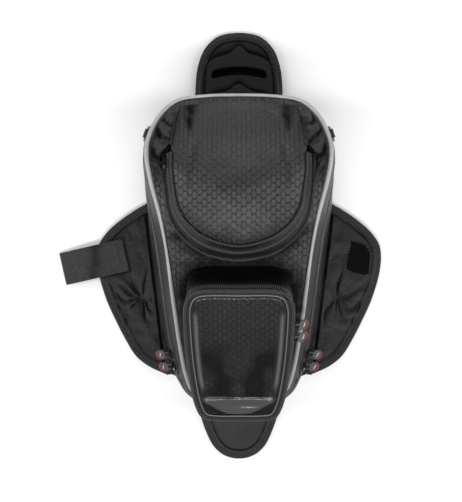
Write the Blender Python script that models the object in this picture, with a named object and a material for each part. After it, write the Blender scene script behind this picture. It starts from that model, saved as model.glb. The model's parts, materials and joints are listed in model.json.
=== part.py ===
"""A motorcycle tank bag: a teardrop body under a hinged lid, a domed pocket and a clear phone
pocket on the lid, and four magnet flaps that hold it to the tank.

+Y points to the front of the motorcycle, +X to the rider's right, +Z up. The origin is on the
underside, on the plane of symmetry. All sizes in this file are millimetres; add_piece() turns
them into metres.
"""
import math

import bmesh
import bpy
from mathutils import Matrix, Vector

MM = 0.001
GAP = 0.3  # between pieces that touch

# Body: half outline from the tail to the front, as (foot x, foot y, top x, top y)
BODY_ROWS = [
    (0, -178, 0, -172),
    (36, -174, 33, -168),
    (58, -162, 51, -158),
    (70, -145, 59, -138),
    (81, -116, 64.5, -105),
    (87.5, -86, 68, -75),
    (92.5, -46, 72, -38),
    (99, 6, 77, 6),
    (103.5, 38, 82.5, 38),
    (104, 68, 90.5, 70),
    (102.5, 97, 95, 96),
    (99, 120, 93.5, 115),
    (88, 145, 83, 139),
    (69, 159, 64, 156.5),
    (38, 165, 36, 161.5),
    (0, 166, 0, 162.5),
]
# Height of the lid's edge along the bag, as (y, z)
TOP_EDGE = [
    (-180, 46), (-158, 53), (-105, 80), (-60, 104), (-10, 128),
    (36, 145), (78, 152), (112, 148), (140, 139), (168, 126),
]
WALL = 3.5  # padded side wall
BULGE = 5.0  # how far the side wall bellies out at half height
BASE_Z = 6.4  # underside of the tub, on the grip sheet and the board
FLOOR = 3.0
BOARD_INSET = 9.0
ZIP_SHARE = 0.6  # the main zip runs at this share of the side wall's height
ZIP_END_Y = -138.0  # behind this the tub and the lid meet in a fabric hinge
TAPE = 8.0  # each half of the main zip
TAPE_THICK = 1.6
BEAD = 1.1  # how far the zip's coil stands proud of its tape
PIPING_R = 2.3
PANEL = 2.4  # thickness of the lid's top panel
LID_HINGE = (0, -178.5, 27.8)

# Domed pocket: half outline from its rear centre, as (rim x, rim y, rim z, foot x, foot y)
DOME_ROWS = [
    (0, 4, 173, 0, -9.5),
    (30, 11, 174, 33, -3.5),
    (50, 24.5, 175, 56, 12),
    (62, 43, 175.5, 70, 33),
    (66.5, 66, 175.5, 75, 60),
    (68.5, 85, 174.5, 76.5, 83),
    (68.5, 99, 171, 76, 99),
]
DOME_FRONT_ROWS = [(68.5, 101, 170), (68, 114, 163.5), (66, 131, 151.5), (61, 150, 140.5)]
DOME_CROWN = [  # height of the dome's middle line, as (y, z)
    (4, 173), (12, 179), (25, 185), (45, 190.5), (62, 192), (80, 189.5),
    (100, 182.5), (120, 171), (140, 155), (158, 137.5),
]
DOME_SKIN = 3.0
DOME_WALL = 2.5
DOME_HINGE = (0, 100, 183.5)
DOME_PIPING_R = 1.8
GUSSET_ROWS = [  # right side, as (inner x, y, inner z above the panel, outer x)
    (77.5, 70, 2.2, 85.5),
    (79, 85, 2.4, 88.5),
    (79.5, 99, 8, 90.5),
    (71.5, 114, 15, 88.5),
    (69, 129, 12, 83.5),
    (66.5, 143, 4.5, 74),
]
GUSSET = 2.0

# Phone pocket, in its own slope frame: x across, u down the slope, n out of the lid
PHONE_O = Vector((0, -13, 127))
PHONE_SLOPE = math.radians(26.4)
PHONE_ROWS = [  # half outline from the upper end to the lower, as (x, u)
    (0, 3), (34, 3), (48, 8), (54.5, 20), (56, 40), (54, 88),
    (49.5, 130), (44.5, 153), (37.5, 165), (22, 168), (0, 168),
]
PHONE_FOOT = 1.7
PHONE_ZIP_N = 38.0
PHONE_ZIP_END = 146.0  # below this the cover is joined by fabric
PHONE_TAPE = 4.6
PHONE_RIM_LOW = 41.3
PHONE_RIM_TOP = 43.2
PHONE_WALL = 2.5
PHONE_PIPING_R = 2.0
PHONE_PIPING_N = 45.4
FRAME_WIDTH = 3.0
FRAME_LOW = 44.2
FRAME_TOP = 46.2
PHONE_HINGE_U = 168.6
PHONE_LEAN = 7.0  # how far the upper end wall leans down the slope at its piping
PHONE_LEAN_END = 60.0

# Magnet flaps: layers by height, shared by all four
BACKING = (1.0, 2.0)
PAD = (2.3, 6.2)
BINDING_WIDTH = 9.5
BINDING_THICK = 0.8
FLAP_TOP = 7.3
FLAP_HINGE_Z = 4.0
MAGNET_THICK = 2.2
FRONT_FLAP = [(0, 253), (24, 248.5), (40, 234), (48, 213), (50.5, 190), (50.5, 170)]
REAR_FLAP = [
    (0, -243), (11, -241.4), (21.5, -236.3), (31, -226.5), (38.5, -211), (44.5, -194), (47.5, -182),
]
WING_FLAP = [  # right wing from its front end round to its rear end
    (109.5, 53), (123, 45), (140, 33), (155, 19), (164.5, 2), (164, -24), (155, -56),
    (143, -83), (130, -108), (119, -124.5), (104, -136), (85.5, -144.5),
]
WING_AXIS = (Vector((108, 54, FLAP_HINGE_Z)), Vector((83.5, -145.5, FLAP_HINGE_Z)))
WING_MAGNET = (113, -55)
GRIP_ROWS = [  # base sheet, wider than the tub where the wings are sewn on at the rear
    (0, -178), (36, -174), (58, -162), (67, -150), (78.5, -145), (82, -118), (87, -86),
    (92.5, -46), (99, 6), (103, 38), (103.5, 68), (102, 97), (98.5, 120), (88, 145),
    (69, 159), (38, 165), (0, 166),
]

# Strap on the left wing and the patch it closes on, on the right wing
STRAP_WIDTH = 38.0
STRAP_THICK = 2.0
STRAP_START = Vector((-131, -5.5, FLAP_TOP + GAP))
STRAP_TURN = 12.8  # degrees that the strap points to the rear
STRAP_SEWN = 37.5
STRAP_FREE = 37.7
STRAP_FOLD = 1.1  # left open between the sewn part and the loose part, for the fold
STRAP_DROP = 5.5
PATCH = [(129.5, 12.5), (147, 7), (153.5, -2.5), (152, -28), (147, -31.5), (122.5, -23.5)]
PATCH_THICK = 2.2

# Zip sliders and their pulls
SLIDER = (11.0, 8.0, 2.0)  # along the zip, across it, thick
BRIDGE = (2.4, 6.2, 3.7)  # along the zip, across it, high
BRIDGE_POST = 1.1
PULL_BAR = 3.3  # height of the pull's bar above the slider's foot
PULL_THICK = 1.6
PULL_EDGE = [  # across the pull, away from its bar
    (-3.2, -0.65), (3.2, -0.65), (3.2, 5.0), (5.5, 6.0), (5.5, 11), (4.0, 14.6), (1.5, 16.4),
    (-1.5, 16.4), (-4.0, 14.6), (-5.5, 11), (-5.5, 6.0), (-3.2, 5.0),
]
PULL_EYE = [
    (-1.9, 0.65), (1.9, 0.65), (1.9, 2.6), (1.9, 4.3), (1.4, 4.3), (0.9, 4.3), (0.3, 4.3),
    (-0.3, 4.3), (-0.9, 4.3), (-1.4, 4.3), (-1.9, 4.3), (-1.9, 2.6),
]
MAIN_SLIDERS_Y = (-117.0, -130.5)
MAIN_PULL_TILT = 50  # degrees that a pull hangs below straight out
PHONE_SLIDERS_U = (56.0, 71.0)
PHONE_PULL_TILT = 35
DOME_SLIDER_Y = 88.0

# Side rings for a carrying strap
RING_Y = 127.0
RING_Z = 72.0
RING_WIRE = 1.6
RING_HALF = 8.0
RING_DEPTH = 7.0
TAB_WIDTH = 10.0
TAB_REACH = 3.4


def clear_scene():
    for old in list(bpy.data.objects):
        bpy.data.objects.remove(old, do_unlink=True)


def material(name, color, roughness, metallic=0.0, alpha=1.0):
    made = bpy.data.materials.new(name)
    made.use_nodes = True
    shader = made.node_tree.nodes["Principled BSDF"]
    shader.inputs["Base Color"].default_value = (*color, 1)
    shader.inputs["Roughness"].default_value = roughness
    shader.inputs["Metallic"].default_value = metallic
    shader.inputs["Alpha"].default_value = alpha
    made.diffuse_color = (*color, alpha)
    return made


# ---------------------------------------------------------------- curves and outlines

def value_at(points, t):
    """Height at t of a smooth curve through (t, value) points in rising order of t."""
    last = len(points) - 1
    if t <= points[0][0]:
        return points[0][1]
    if t >= points[last][0]:
        return points[last][1]
    i = max(k for k in range(last) if points[k][0] <= t)

    def slope(k):
        a, b = points[max(k - 1, 0)], points[min(k + 1, last)]
        return (b[1] - a[1]) / (b[0] - a[0])

    width = points[i + 1][0] - points[i][0]
    s = (t - points[i][0]) / width
    low, high = points[i][1], points[i + 1][1]
    return (
        low * (1 + 2 * s) * (1 - s) ** 2
        + high * s * s * (3 - 2 * s)
        + slope(i) * width * s * (1 - s) ** 2
        - slope(i + 1) * width * s * s * (1 - s)
    )


def spline(rows, steps, closed):
    """Rows of numbers along a Catmull-Rom curve through the given rows."""
    count = len(rows)
    spans = count if closed else count - 1

    def row(k):
        if closed:
            return rows[k % count]
        if k < 0:
            return [2 * a - b for a, b in zip(rows[0], rows[1])]
        if k >= count:
            return [2 * a - b for a, b in zip(rows[-1], rows[-2])]
        return rows[k]

    out = []
    for k in range(spans):
        a, b, c, d = row(k - 1), row(k), row(k + 1), row(k + 2)
        for step in range(steps):
            t = step / steps
            out.append([
                0.5 * (2 * q + (r - p) * t + (2 * p - 5 * q + 4 * r - s) * t * t
                       + (3 * q - p - 3 * r + s) * t ** 3)
                for p, q, r, s in zip(a, b, c, d)
            ])
    if not closed:
        out.append(list(rows[-1]))
    return out


def mirrored(row, x_columns):
    return [-v if k in x_columns else v for k, v in enumerate(row)]


def whole_loop(half, x_columns, steps):
    """Closed clockwise loop from half rows that run from the rear centre to the front."""
    left = [mirrored(row, x_columns) for row in half[1:-1]]
    right = list(reversed(half[1:-1]))
    return spline([half[0], *left, half[-1], *right], steps, closed=True)


def whole_arch(half, x_columns, steps):
    """Open arch, right end to left end, from half rows that start at its middle."""
    right = list(reversed(half[1:]))
    left = [mirrored(row, x_columns) for row in half[1:]]
    return spline([*right, half[0], *left], steps, closed=False)


def push_out(points, distance, closed):
    """Points moved sideways to the left of their path, which is out on a clockwise one."""
    count = len(points)
    moved = []
    for k, (x, y) in enumerate(points):
        if closed:
            a, b = points[k - 1], points[(k + 1) % count]
        else:
            a, b = points[max(k - 1, 0)], points[min(k + 1, count - 1)]
        dx, dy = b[0] - a[0], b[1] - a[1]
        size = math.hypot(dx, dy)
        step = distance[k] if isinstance(distance, list) else distance
        moved.append((x - dy / size * step, y + dx / size * step))
    return moved


# ---------------------------------------------------------------- meshes

def add_piece(name, bm, mat, pivot=(0, 0, 0), smooth_angle=None):
    """One named object from a mesh in millimetres, with its origin at the pivot."""
    pivot = Vector(pivot)
    bmesh.ops.translate(bm, vec=-pivot, verts=bm.verts)
    bmesh.ops.scale(bm, vec=(MM, MM, MM), verts=bm.verts)
    bmesh.ops.recalc_face_normals(bm, faces=bm.faces)
    mesh = bpy.data.meshes.new(name)
    bm.to_mesh(mesh)
    bm.free()
    mesh.materials.append(mat)
    if smooth_angle is not None:
        mesh.shade_smooth()
        mesh.set_sharp_from_angle(angle=math.radians(smooth_angle))
    piece = bpy.data.objects.new(name, mesh)
    piece.location = pivot * MM
    bpy.context.scene.collection.objects.link(piece)
    return piece


def loft(loops, closed=False):
    """Skin between loops of points; open ends are closed by a face each."""
    bm = bmesh.new()
    rings = [[bm.verts.new(p) for p in loop] for loop in loops]
    size = len(rings[0])
    pairs = list(zip(rings, rings[1:]))
    if closed:
        pairs.append((rings[-1], rings[0]))
    for low, high in pairs:
        for k in range(size):
            n = (k + 1) % size
            bm.faces.new((low[k], low[n], high[n], high[k]))
    if not closed:
        bm.faces.new(rings[0])
        bm.faces.new(list(reversed(rings[-1])))
    return bm


def slab(outline, low, high):
    return loft([[(x, y, z) for x, y in outline] for z in (low, high)])


def tube(points, radius, closed, sides=8):
    """Round cord along a path, its sections kept upright."""
    points = [Vector(p) for p in points]
    count = len(points)
    sections = []
    for k, p in enumerate(points):
        if closed:
            along = points[(k + 1) % count] - points[k - 1]
        else:
            along = points[min(k + 1, count - 1)] - points[max(k - 1, 0)]
        along.normalize()
        side = along.cross(Vector((0, 0, 1))).normalized()
        up = side.cross(along)
        turns = [2 * math.pi * (s + 0.5) / sides for s in range(sides)]
        sections.append([p + radius * (math.cos(a) * side + math.sin(a) * up) for a in turns])
    return loft(sections, closed)


def cylinder(x, y, low, high, radius, sides=24):
    turns = [2 * math.pi * k / sides for k in range(sides)]
    outline = [(x + radius * math.cos(a), y + radius * math.sin(a)) for a in turns]
    return slab(outline, low, high)


def cut(piece, cutter_mesh, mat):
    """Cut a hollow out of a piece with an unrendered cutter."""
    cutter = add_piece(piece.name + ".cutter", cutter_mesh, mat)
    cutter.hide_render = True
    cutter.display_type = "WIRE"
    modifier = piece.modifiers.new("recess", "BOOLEAN")
    modifier.operation = "DIFFERENCE"
    modifier.object = cutter


# ---------------------------------------------------------------- body and lid

BODY = whole_loop(BODY_ROWS, (0, 2), steps=2)


def top_height(y):
    return value_at(TOP_EDGE, y)


def zip_height(row):
    return ZIP_SHARE * top_height(row[3])


def has_zip(row):
    return row[3] > ZIP_END_Y


def wall_points(height, out, rows=BODY):
    """Points of the side wall at height(row), moved outward; rows may be the zip's part."""
    closed = rows is BODY
    flat = []
    belly = []
    for row in rows:
        share = height(row) / top_height(row[3])
        flat.append([a + (b - a) * share for a, b in ((row[0], row[2]), (row[1], row[3]))])
        belly.append(out + BULGE * math.sin(math.pi * min(share, 1)))
    moved = push_out(flat, belly, closed)
    return [(x, y, height(row)) for (x, y), row in zip(moved, rows)]


def tub_top(row):
    return zip_height(row) - (TAPE + GAP if has_zip(row) else GAP / 2)


def lid_bottom(row):
    return zip_height(row) + (TAPE + GAP if has_zip(row) else GAP / 2)


def lid_top(row):
    return top_height(row[3]) - PIPING_R - GAP


def between(low, high, share):
    return lambda row: low(row) + (high(row) - low(row)) * share


def make_base(grip, board):
    mirror = [(-x, y) for x, y in reversed(GRIP_ROWS[1:-1])]
    add_piece("grip_sheet", slab([*GRIP_ROWS, *mirror], 0, 2.2), grip)
    foot = [(row[0], row[1]) for row in BODY]
    inner = push_out(foot, -BOARD_INSET, closed=True)
    add_piece("base_board", slab(inner, 2.5, BASE_Z - GAP), board)


def make_tub(fabric):
    def level(z):
        return lambda row: z

    half = between(level(BASE_Z + FLOOR), tub_top, 0.5)
    inside_low = level(BASE_Z + FLOOR)
    loops = [
        wall_points(level(BASE_Z), -4),
        wall_points(level(BASE_Z + 3), 0),
        wall_points(half, 0),
        wall_points(tub_top, 0),
        wall_points(tub_top, -WALL),
        wall_points(half, -WALL),
        wall_points(inside_low, -WALL - 1),
    ]
    add_piece("body_tub", loft(loops), fabric, smooth_angle=40)


def zip_half(name, mat, lower, pivot=(0, 0, 0)):
    """One tape of the main zip with its half of the coil, round the front of the bag."""
    rows = [row for row in BODY if has_zip(row)]
    sign = -1 if lower else 1

    def at(distance):
        return lambda row: zip_height(row) + sign * distance

    lines = [
        wall_points(at(TAPE), -0.5, rows),
        wall_points(at(3.0), -0.5, rows),
        wall_points(at(2.4), BEAD, rows),
        wall_points(at(0.2), BEAD, rows),
        wall_points(at(0.2), -0.5 - TAPE_THICK, rows),
        wall_points(at(TAPE), -0.5 - TAPE_THICK, rows),
    ]
    add_piece(name, loft([list(section) for section in zip(*lines)]), mat, pivot)


def make_lid(fabric, hex_fabric, reflective, tape):
    half = between(lid_bottom, lid_top, 0.5)
    loops = [
        wall_points(lid_bottom, 0),
        wall_points(half, 0),
        wall_points(lid_top, 0),
        wall_points(lid_top, -WALL + 0.5),
        wall_points(half, -WALL + 0.5),
        wall_points(lid_bottom, -WALL + 0.5),
    ]
    add_piece("lid_wall", loft(loops, closed=True), fabric, LID_HINGE, smooth_angle=40)
    zip_half("main_zip_upper", tape, lower=False, pivot=LID_HINGE)
    edge = [(row[2], row[3], top_height(row[3])) for row in BODY]
    add_piece("edge_piping", tube(edge, PIPING_R, closed=True), reflective, LID_HINGE, 60)
    inner = push_out([(row[2], row[3]) for row in BODY], -PIPING_R - 0.6, closed=True)
    add_piece("lid_panel", ruled_panel(inner), hex_fabric, LID_HINGE, smooth_angle=40)


def ruled_panel(outline):
    """Panel that is level across and follows the lid's edge along the bag."""
    bm = bmesh.new()
    count = len(outline)
    layers = []
    for offset in (PANEL / 2, -PANEL / 2):
        layers.append([bm.verts.new((x, y, top_height(y) + offset)) for x, y in outline])
    for layer in layers:
        for k in range(count // 2):
            corners = [layer[k], layer[k + 1], layer[(count - k - 1) % count], layer[-k % count]]
            bm.faces.new(list(dict.fromkeys(corners)))
    top, bottom = layers
    for k in range(count):
        n = (k + 1) % count
        bm.faces.new((top[k], top[n], bottom[n], bottom[k]))
    return bm


# ---------------------------------------------------------------- domed pocket

DOME = whole_arch(DOME_ROWS, (0, 3), steps=2)


def dome_points(share, out):
    """Points of the dome's wall at a share of its height from foot to rim."""
    flat = []
    heights = []
    for rim_x, rim_y, rim_z, foot_x, foot_y in DOME:
        foot_z = max(top_height(foot_y), top_height(foot_y + DOME_WALL)) + PANEL / 2 + 2 * GAP
        flat.append((foot_x + (rim_x - foot_x) * share, foot_y + (rim_y - foot_y) * share))
        heights.append(foot_z + (rim_z - foot_z) * share)
    moved = push_out(flat, out, closed=False)
    return [(x, y, z) for (x, y), z in zip(moved, heights)]


def dome_band(name, mat, low, high, out, thick, pivot, bead_at=None):
    lines = [dome_points(low, out), dome_points(high, out)]
    if bead_at == "high":
        lines[1:] = [
            dome_points(high - 0.05, out), dome_points(high - 0.045, out + BEAD),
            dome_points(high, out + BEAD),
        ]
    if bead_at == "low":
        lines[:1] = [
            dome_points(low, out + BEAD), dome_points(low + 0.045, out + BEAD),
            dome_points(low + 0.05, out),
        ]
    lines += [dome_points(high, out - thick), dome_points(low, out - thick)]
    add_piece(name, loft([list(section) for section in zip(*lines)]), mat, pivot, smooth_angle=40)


def crowned(rows, nose, across=8):
    """Skin over pairs of edge points, crowned between them; nose bows the last row forward."""
    grid = []
    for x, y, z in rows:
        line = []
        for k in range(across + 1):
            s = 2 * k / across - 1
            lift = (value_at(DOME_CROWN, y + nose(y)) - z) * (1 - s * s)
            line.append((x * s, y + nose(y) * (1 - s * s), z + max(lift, 0)))
        grid.append(line)
    bm = bmesh.new()
    sheets = []
    for drop in (0, DOME_SKIN):
        sheets.append([[bm.verts.new((x, y, z - drop)) for x, y, z in line] for line in grid])
    for sheet in sheets:
        for a, b in zip(sheet, sheet[1:]):
            for k in range(across):
                bm.faces.new((a[k], a[k + 1], b[k + 1], b[k]))
    top, bottom = sheets
    border = [top[0], [line[-1] for line in top], top[-1][::-1], [line[0] for line in top][::-1]]
    under = [
        bottom[0], [line[-1] for line in bottom], bottom[-1][::-1],
        [line[0] for line in bottom][::-1],
    ]
    for edge, low in zip(border, under):
        for k in range(len(edge) - 1):
            bm.faces.new((edge[k], edge[k + 1], low[k + 1], low[k]))
    return bm


def make_dome(hex_fabric, fabric, tape, piping):
    dome_band("dome_wall", fabric, 0.0, 0.355, 0, DOME_WALL, LID_HINGE)
    dome_band("dome_zip_lower", tape, 0.37, 0.495, -0.4, TAPE_THICK, LID_HINGE, bead_at="high")
    dome_band("dome_zip_upper", tape, 0.505, 0.63, -0.4, TAPE_THICK, DOME_HINGE, bead_at="low")
    dome_band("dome_skirt", fabric, 0.645, 0.88, 0, DOME_WALL, DOME_HINGE)
    rim = [(x, y, z) for x, y, z in dome_points(1.0, 0)]
    add_piece("dome_rim_piping", tube(rim, DOME_PIPING_R, False), piping, DOME_HINGE, 60)
    inside = push_out([(row[0], row[1]) for row in DOME], -DOME_PIPING_R - GAP, closed=False)
    middle = len(inside) // 2
    rear = [(0.8, inside[middle][1] + 0.2, DOME[middle][2] + 0.6)]
    for (x, y), row in list(zip(inside, DOME))[middle - 1::-1]:
        rear.append((x, min(y, DOME_HINGE[1] - 0.6), row[2] + 0.6))
    add_piece("dome_cover", crowned(rear, lambda y: 0), hex_fabric, DOME_HINGE, 40)
    front = spline(DOME_FRONT_ROWS, 2, closed=False)
    front[0][1] = DOME_HINGE[1] + 0.6
    last = front[-1][1]
    bow = crowned(front, lambda y: 4.5 * max(0, (y - 130) / (last - 130)))
    add_piece("dome_front", bow, hex_fabric, LID_HINGE, smooth_angle=40)


def make_gusset(name, side, fabric):
    sections = []
    for inner_x, y, rise, outer_x in spline(GUSSET_ROWS, 2, closed=False):
        low = top_height(y) + PANEL / 2 + GAP
        sections.append([
            (side * inner_x, y, low + rise), (side * outer_x, y, low),
            (side * outer_x, y, low + GUSSET), (side * inner_x, y, low + rise + GUSSET),
        ])
    add_piece(name, loft(sections), fabric, LID_HINGE)


# ---------------------------------------------------------------- phone pocket

PHONE = [tuple(row) for row in whole_loop(list(reversed(PHONE_ROWS)), (0,), steps=2)]
DOWN = Vector((0, -math.cos(PHONE_SLOPE), -math.sin(PHONE_SLOPE)))
OUT = Vector((0, -math.sin(PHONE_SLOPE), math.cos(PHONE_SLOPE)))
PHONE_HINGE = PHONE_O + PHONE_HINGE_U * DOWN + (PHONE_ZIP_N + 0.1) * OUT


def on_slope(x, u, n):
    lean = PHONE_LEAN * n / PHONE_PIPING_N * max(0, 1 - u / PHONE_LEAN_END)
    return PHONE_O + x * Vector((1, 0, 0)) + (u + lean) * DOWN + n * OUT


def phone_loop(inset, height):
    """Loop round the phone pocket, inset from its outline, at height(u) above the lid."""
    flat = push_out([(x, -u) for x, u in PHONE], -inset, closed=True)
    return [on_slope(x, -v, height(u)) for (x, v), (_, u) in zip(flat, PHONE)]


def phone_ring(name, mat, outer, inner, low, high, pivot):
    loops = [
        phone_loop(outer, low), phone_loop(outer, high),
        phone_loop(inner, high), phone_loop(inner, low),
    ]
    add_piece(name, loft(loops, closed=True), mat, pivot, smooth_angle=40)


def phone_tape(name, mat, low, high, pivot):
    """Zip tape round the pocket's upper end and sides."""
    loops = [
        phone_loop(0.5, lambda u: low), phone_loop(0.5, lambda u: high),
        phone_loop(0.5 + TAPE_THICK, lambda u: high), phone_loop(0.5 + TAPE_THICK, lambda u: low),
    ]
    sections = [list(points) for points in zip(*loops)]
    kept = [k for k, (_, u) in enumerate(PHONE) if u < PHONE_ZIP_END]
    add_piece(name, loft([sections[k] for k in kept]), mat, pivot)


def make_phone_pocket(fabric, tape, piping, binding, clear):
    def zipped(high, low):
        return lambda u: high if u < PHONE_ZIP_END else low

    wall_top = zipped(PHONE_ZIP_N - PHONE_TAPE - GAP, PHONE_ZIP_N - GAP / 2)
    rim_low = zipped(PHONE_RIM_LOW, PHONE_ZIP_N + GAP / 2)
    phone_ring(
        "phone_wall", fabric, 0, PHONE_WALL, lambda u: PHONE_FOOT, wall_top, LID_HINGE
    )
    phone_tape("phone_zip_lower", tape, PHONE_ZIP_N - PHONE_TAPE, PHONE_ZIP_N - 0.2, LID_HINGE)
    phone_tape("phone_zip_upper", tape, PHONE_ZIP_N + 0.2, PHONE_RIM_LOW - GAP, PHONE_HINGE)
    phone_ring(
        "phone_rim", fabric, 0, PHONE_WALL, rim_low, lambda u: PHONE_RIM_TOP, PHONE_HINGE
    )
    cord = phone_loop(0, lambda u: PHONE_PIPING_N)
    add_piece("phone_piping", tube(cord, PHONE_PIPING_R, True), piping, PHONE_HINGE, 60)
    edge = PHONE_PIPING_R + GAP
    phone_ring(
        "phone_frame", binding, edge, edge + FRAME_WIDTH,
        lambda u: FRAME_LOW, lambda u: FRAME_TOP, PHONE_HINGE,
    )
    inner = edge + FRAME_WIDTH + GAP
    pane = [phone_loop(inner, lambda u: FRAME_LOW + n) for n in (0.3, 1.5)]
    add_piece("phone_window", loft(pane), clear, PHONE_HINGE)


# ---------------------------------------------------------------- magnet flaps

def make_flap(name, path, centre, radius, mats, pivot):
    """One flap from its edge path, which runs clockwise from root to root."""
    pad_mat, backing_mat, binding_mat, magnet_mat = mats
    inner = push_out(path, -1.4, closed=False)
    pad = add_piece(name + "_pad", slab(inner, *PAD), pad_mat, pivot)
    x, y = centre
    hollow = cylinder(x, y, PAD[0] - 2, PAD[0] + MAGNET_THICK + 2 * GAP, radius + GAP)
    cut(pad, hollow, magnet_mat)
    add_piece(name + "_backing", slab(inner, *BACKING), backing_mat, pivot)
    disc = cylinder(x, y, PAD[0], PAD[0] + MAGNET_THICK, radius)
    add_piece(name + "_magnet", disc, magnet_mat, pivot, smooth_angle=40)
    profile = [
        (0, 1.0), (0, FLAP_TOP - 1), (1, FLAP_TOP), (BINDING_WIDTH, FLAP_TOP),
        (BINDING_WIDTH, FLAP_TOP - BINDING_THICK), (1.1, FLAP_TOP - BINDING_THICK),
        (1.1, BINDING_THICK - 0.1), (BINDING_WIDTH, BINDING_THICK - 0.1), (BINDING_WIDTH, 0),
        (1, 0),
    ]
    lines = [[(*p, z) for p in push_out(path, -inset, closed=False)] for inset, z in profile]
    band = loft([list(section) for section in zip(*lines)])
    add_piece(name + "_binding", band, binding_mat, pivot)


def wing_path(side):
    path = [tuple(p) for p in spline(WING_FLAP, 2, closed=False)]
    if side > 0:
        return path
    return [(-x, y) for x, y in reversed(path)]


def make_flaps(mats):
    front = whole_arch(FRONT_FLAP, (0,), steps=2)
    front = [tuple(p) for p in reversed(front)]
    make_flap("front_flap", front, (0, 205), 22, mats, (0, 168.5, FLAP_HINGE_Z))
    rear = [tuple(p) for p in whole_arch(REAR_FLAP, (0,), steps=2)]
    make_flap("rear_flap", rear, (0, -208), 17, mats, (0, -180.5, FLAP_HINGE_Z))
    for name, side in (("right_wing", 1), ("left_wing", -1)):
        pivot = (side * WING_AXIS[0].x, WING_AXIS[0].y, FLAP_HINGE_Z)
        centre = (side * WING_MAGNET[0], WING_MAGNET[1])
        make_flap(name, wing_path(side), centre, 16, mats, pivot)


def make_strap(webbing, loop):
    turn = math.radians(STRAP_TURN)
    along = Vector((-math.cos(turn), -math.sin(turn), 0))
    across = Vector((-along.y, along.x, 0)) * STRAP_WIDTH / 2
    end = STRAP_START + along * STRAP_SEWN
    start = end + along * STRAP_FOLD
    fold = (start + end) / 2 + Vector((0, 0, STRAP_THICK / 2))
    tip = start + along * STRAP_FREE + Vector((0, 0, -STRAP_DROP))

    def strip(start, end):
        up = Vector((0, 0, STRAP_THICK))
        return loft([
            [p - across, p + across, p + across + up, p - across + up] for p in (start, end)
        ])

    wing = (-WING_AXIS[0].x, WING_AXIS[0].y, FLAP_HINGE_Z)
    add_piece("strap_sewn", strip(STRAP_START, end), webbing, wing)
    add_piece("strap_end", strip(start, tip), webbing, fold)
    right = (WING_AXIS[0].x, WING_AXIS[0].y, FLAP_HINGE_Z)
    patch = slab(PATCH, FLAP_TOP + GAP, FLAP_TOP + GAP + PATCH_THICK)
    add_piece("loop_patch", patch, loop, right)


# ---------------------------------------------------------------- sliders, pulls and rings

def place(bm, origin, along, outward):
    """Turn a mesh from its own frame, x along the zip and z outward, to where it sits."""
    along = along.normalized()
    across = outward.cross(along).normalized()
    outward = along.cross(across)
    turn = Matrix((along, across, outward)).transposed().to_4x4()
    bmesh.ops.transform(bm, matrix=Matrix.Translation(origin) @ turn, verts=bm.verts)
    return bm


def join(piece, other_mesh, mat):
    """Weld a second shape onto a piece."""
    other = add_piece(piece.name + ".weld", other_mesh, mat)
    other.hide_render = True
    other.display_type = "WIRE"
    modifier = piece.modifiers.new("weld", "BOOLEAN")
    modifier.operation = "UNION"
    modifier.object = other


def make_slider(name, mat, spot):
    """Slider plate with an arched bridge that the pull's bar passes under."""
    origin, along, outward = spot
    length, width, thick = SLIDER
    run, span, high = BRIDGE
    nose = width * 0.28
    plate = [
        (-length / 2, -nose), (-length / 4, -width / 2), (length / 4, -width / 2),
        (length / 2, -nose), (length / 2, nose), (length / 4, width / 2),
        (-length / 4, width / 2), (-length / 2, nose),
    ]
    piece = add_piece(name, place(slab(plate, 0, thick), origin, along, outward), mat, origin)

    def rectangle(x, half, low, top):
        return [(x, -half, low), (x, half, low), (x, half, top), (x, -half, top)]

    top = thick + high
    outer = (span / 2, thick - 0.6, top)
    inner = (span / 2 - BRIDGE_POST, thick, top - BRIDGE_POST)
    loops = [
        rectangle(-run / 2, *outer), rectangle(run / 2, *outer),
        rectangle(run / 2, *inner), rectangle(-run / 2, *inner),
    ]
    join(piece, place(loft(loops, closed=True), origin, along, outward), mat)


def make_pull(name, mat, spot, down, tilt):
    """Half-round pull tab with an eye, turned tilt degrees down from straight out."""
    origin, along, outward = spot
    bar = origin + outward * PULL_BAR
    angle = math.radians(tilt)
    down = (down - along * down.dot(along) - outward * down.dot(outward)).normalized()
    reach = outward * math.cos(angle) + down * math.sin(angle)
    face = along.normalized().cross(reach)

    def outline(points, rise):
        return [bar + along * x + reach * d + face * rise for x, d in points]

    half = PULL_THICK / 2
    loops = [
        outline(PULL_EDGE, -half), outline(PULL_EDGE, half),
        outline(PULL_EYE, half), outline(PULL_EYE, -half),
    ]
    add_piece(name, loft(loops, closed=True), mat, bar)


def along_path(points, side, y):
    """Point and forward direction where a path on one side of the bag crosses y."""
    near = [Vector(p) for p in points if p[0] * side > 0]
    after = min((p for p in near if p.y >= y), key=lambda p: p.y - y)
    before = min((p for p in near if p.y < y), key=lambda p: y - p.y)
    along = (after - before).normalized()
    return before + (after - before) * ((y - before.y) / (after.y - before.y)), along


def wall_spot(y, side, height, out):
    """Point, direction along the bag and outward direction on the side wall."""
    spot, along = along_path(wall_points(height, out), side, y)
    higher, _ = along_path(wall_points(lambda row: height(row) + 3, out), side, y)
    outward = along.cross(higher - spot).normalized() * side
    return spot, along, outward


def phone_spot(u):
    """The same on the right side of the phone pocket, at its zip."""
    right = [on_slope(x + GAP, v, PHONE_ZIP_N) for x, v in PHONE if x > 0]
    spot, along = along_path(right, 1, on_slope(0, u, PHONE_ZIP_N).y)
    return spot, along, along.cross(OUT).normalized()


def dome_spot(y):
    """The same on the left side of the domed pocket, at its zip."""
    spot, along = along_path(dome_points(0.5, BEAD + 4 * GAP), -1, y)
    return spot, along, along.cross(Vector((0, 0, -1))).normalized()


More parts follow.
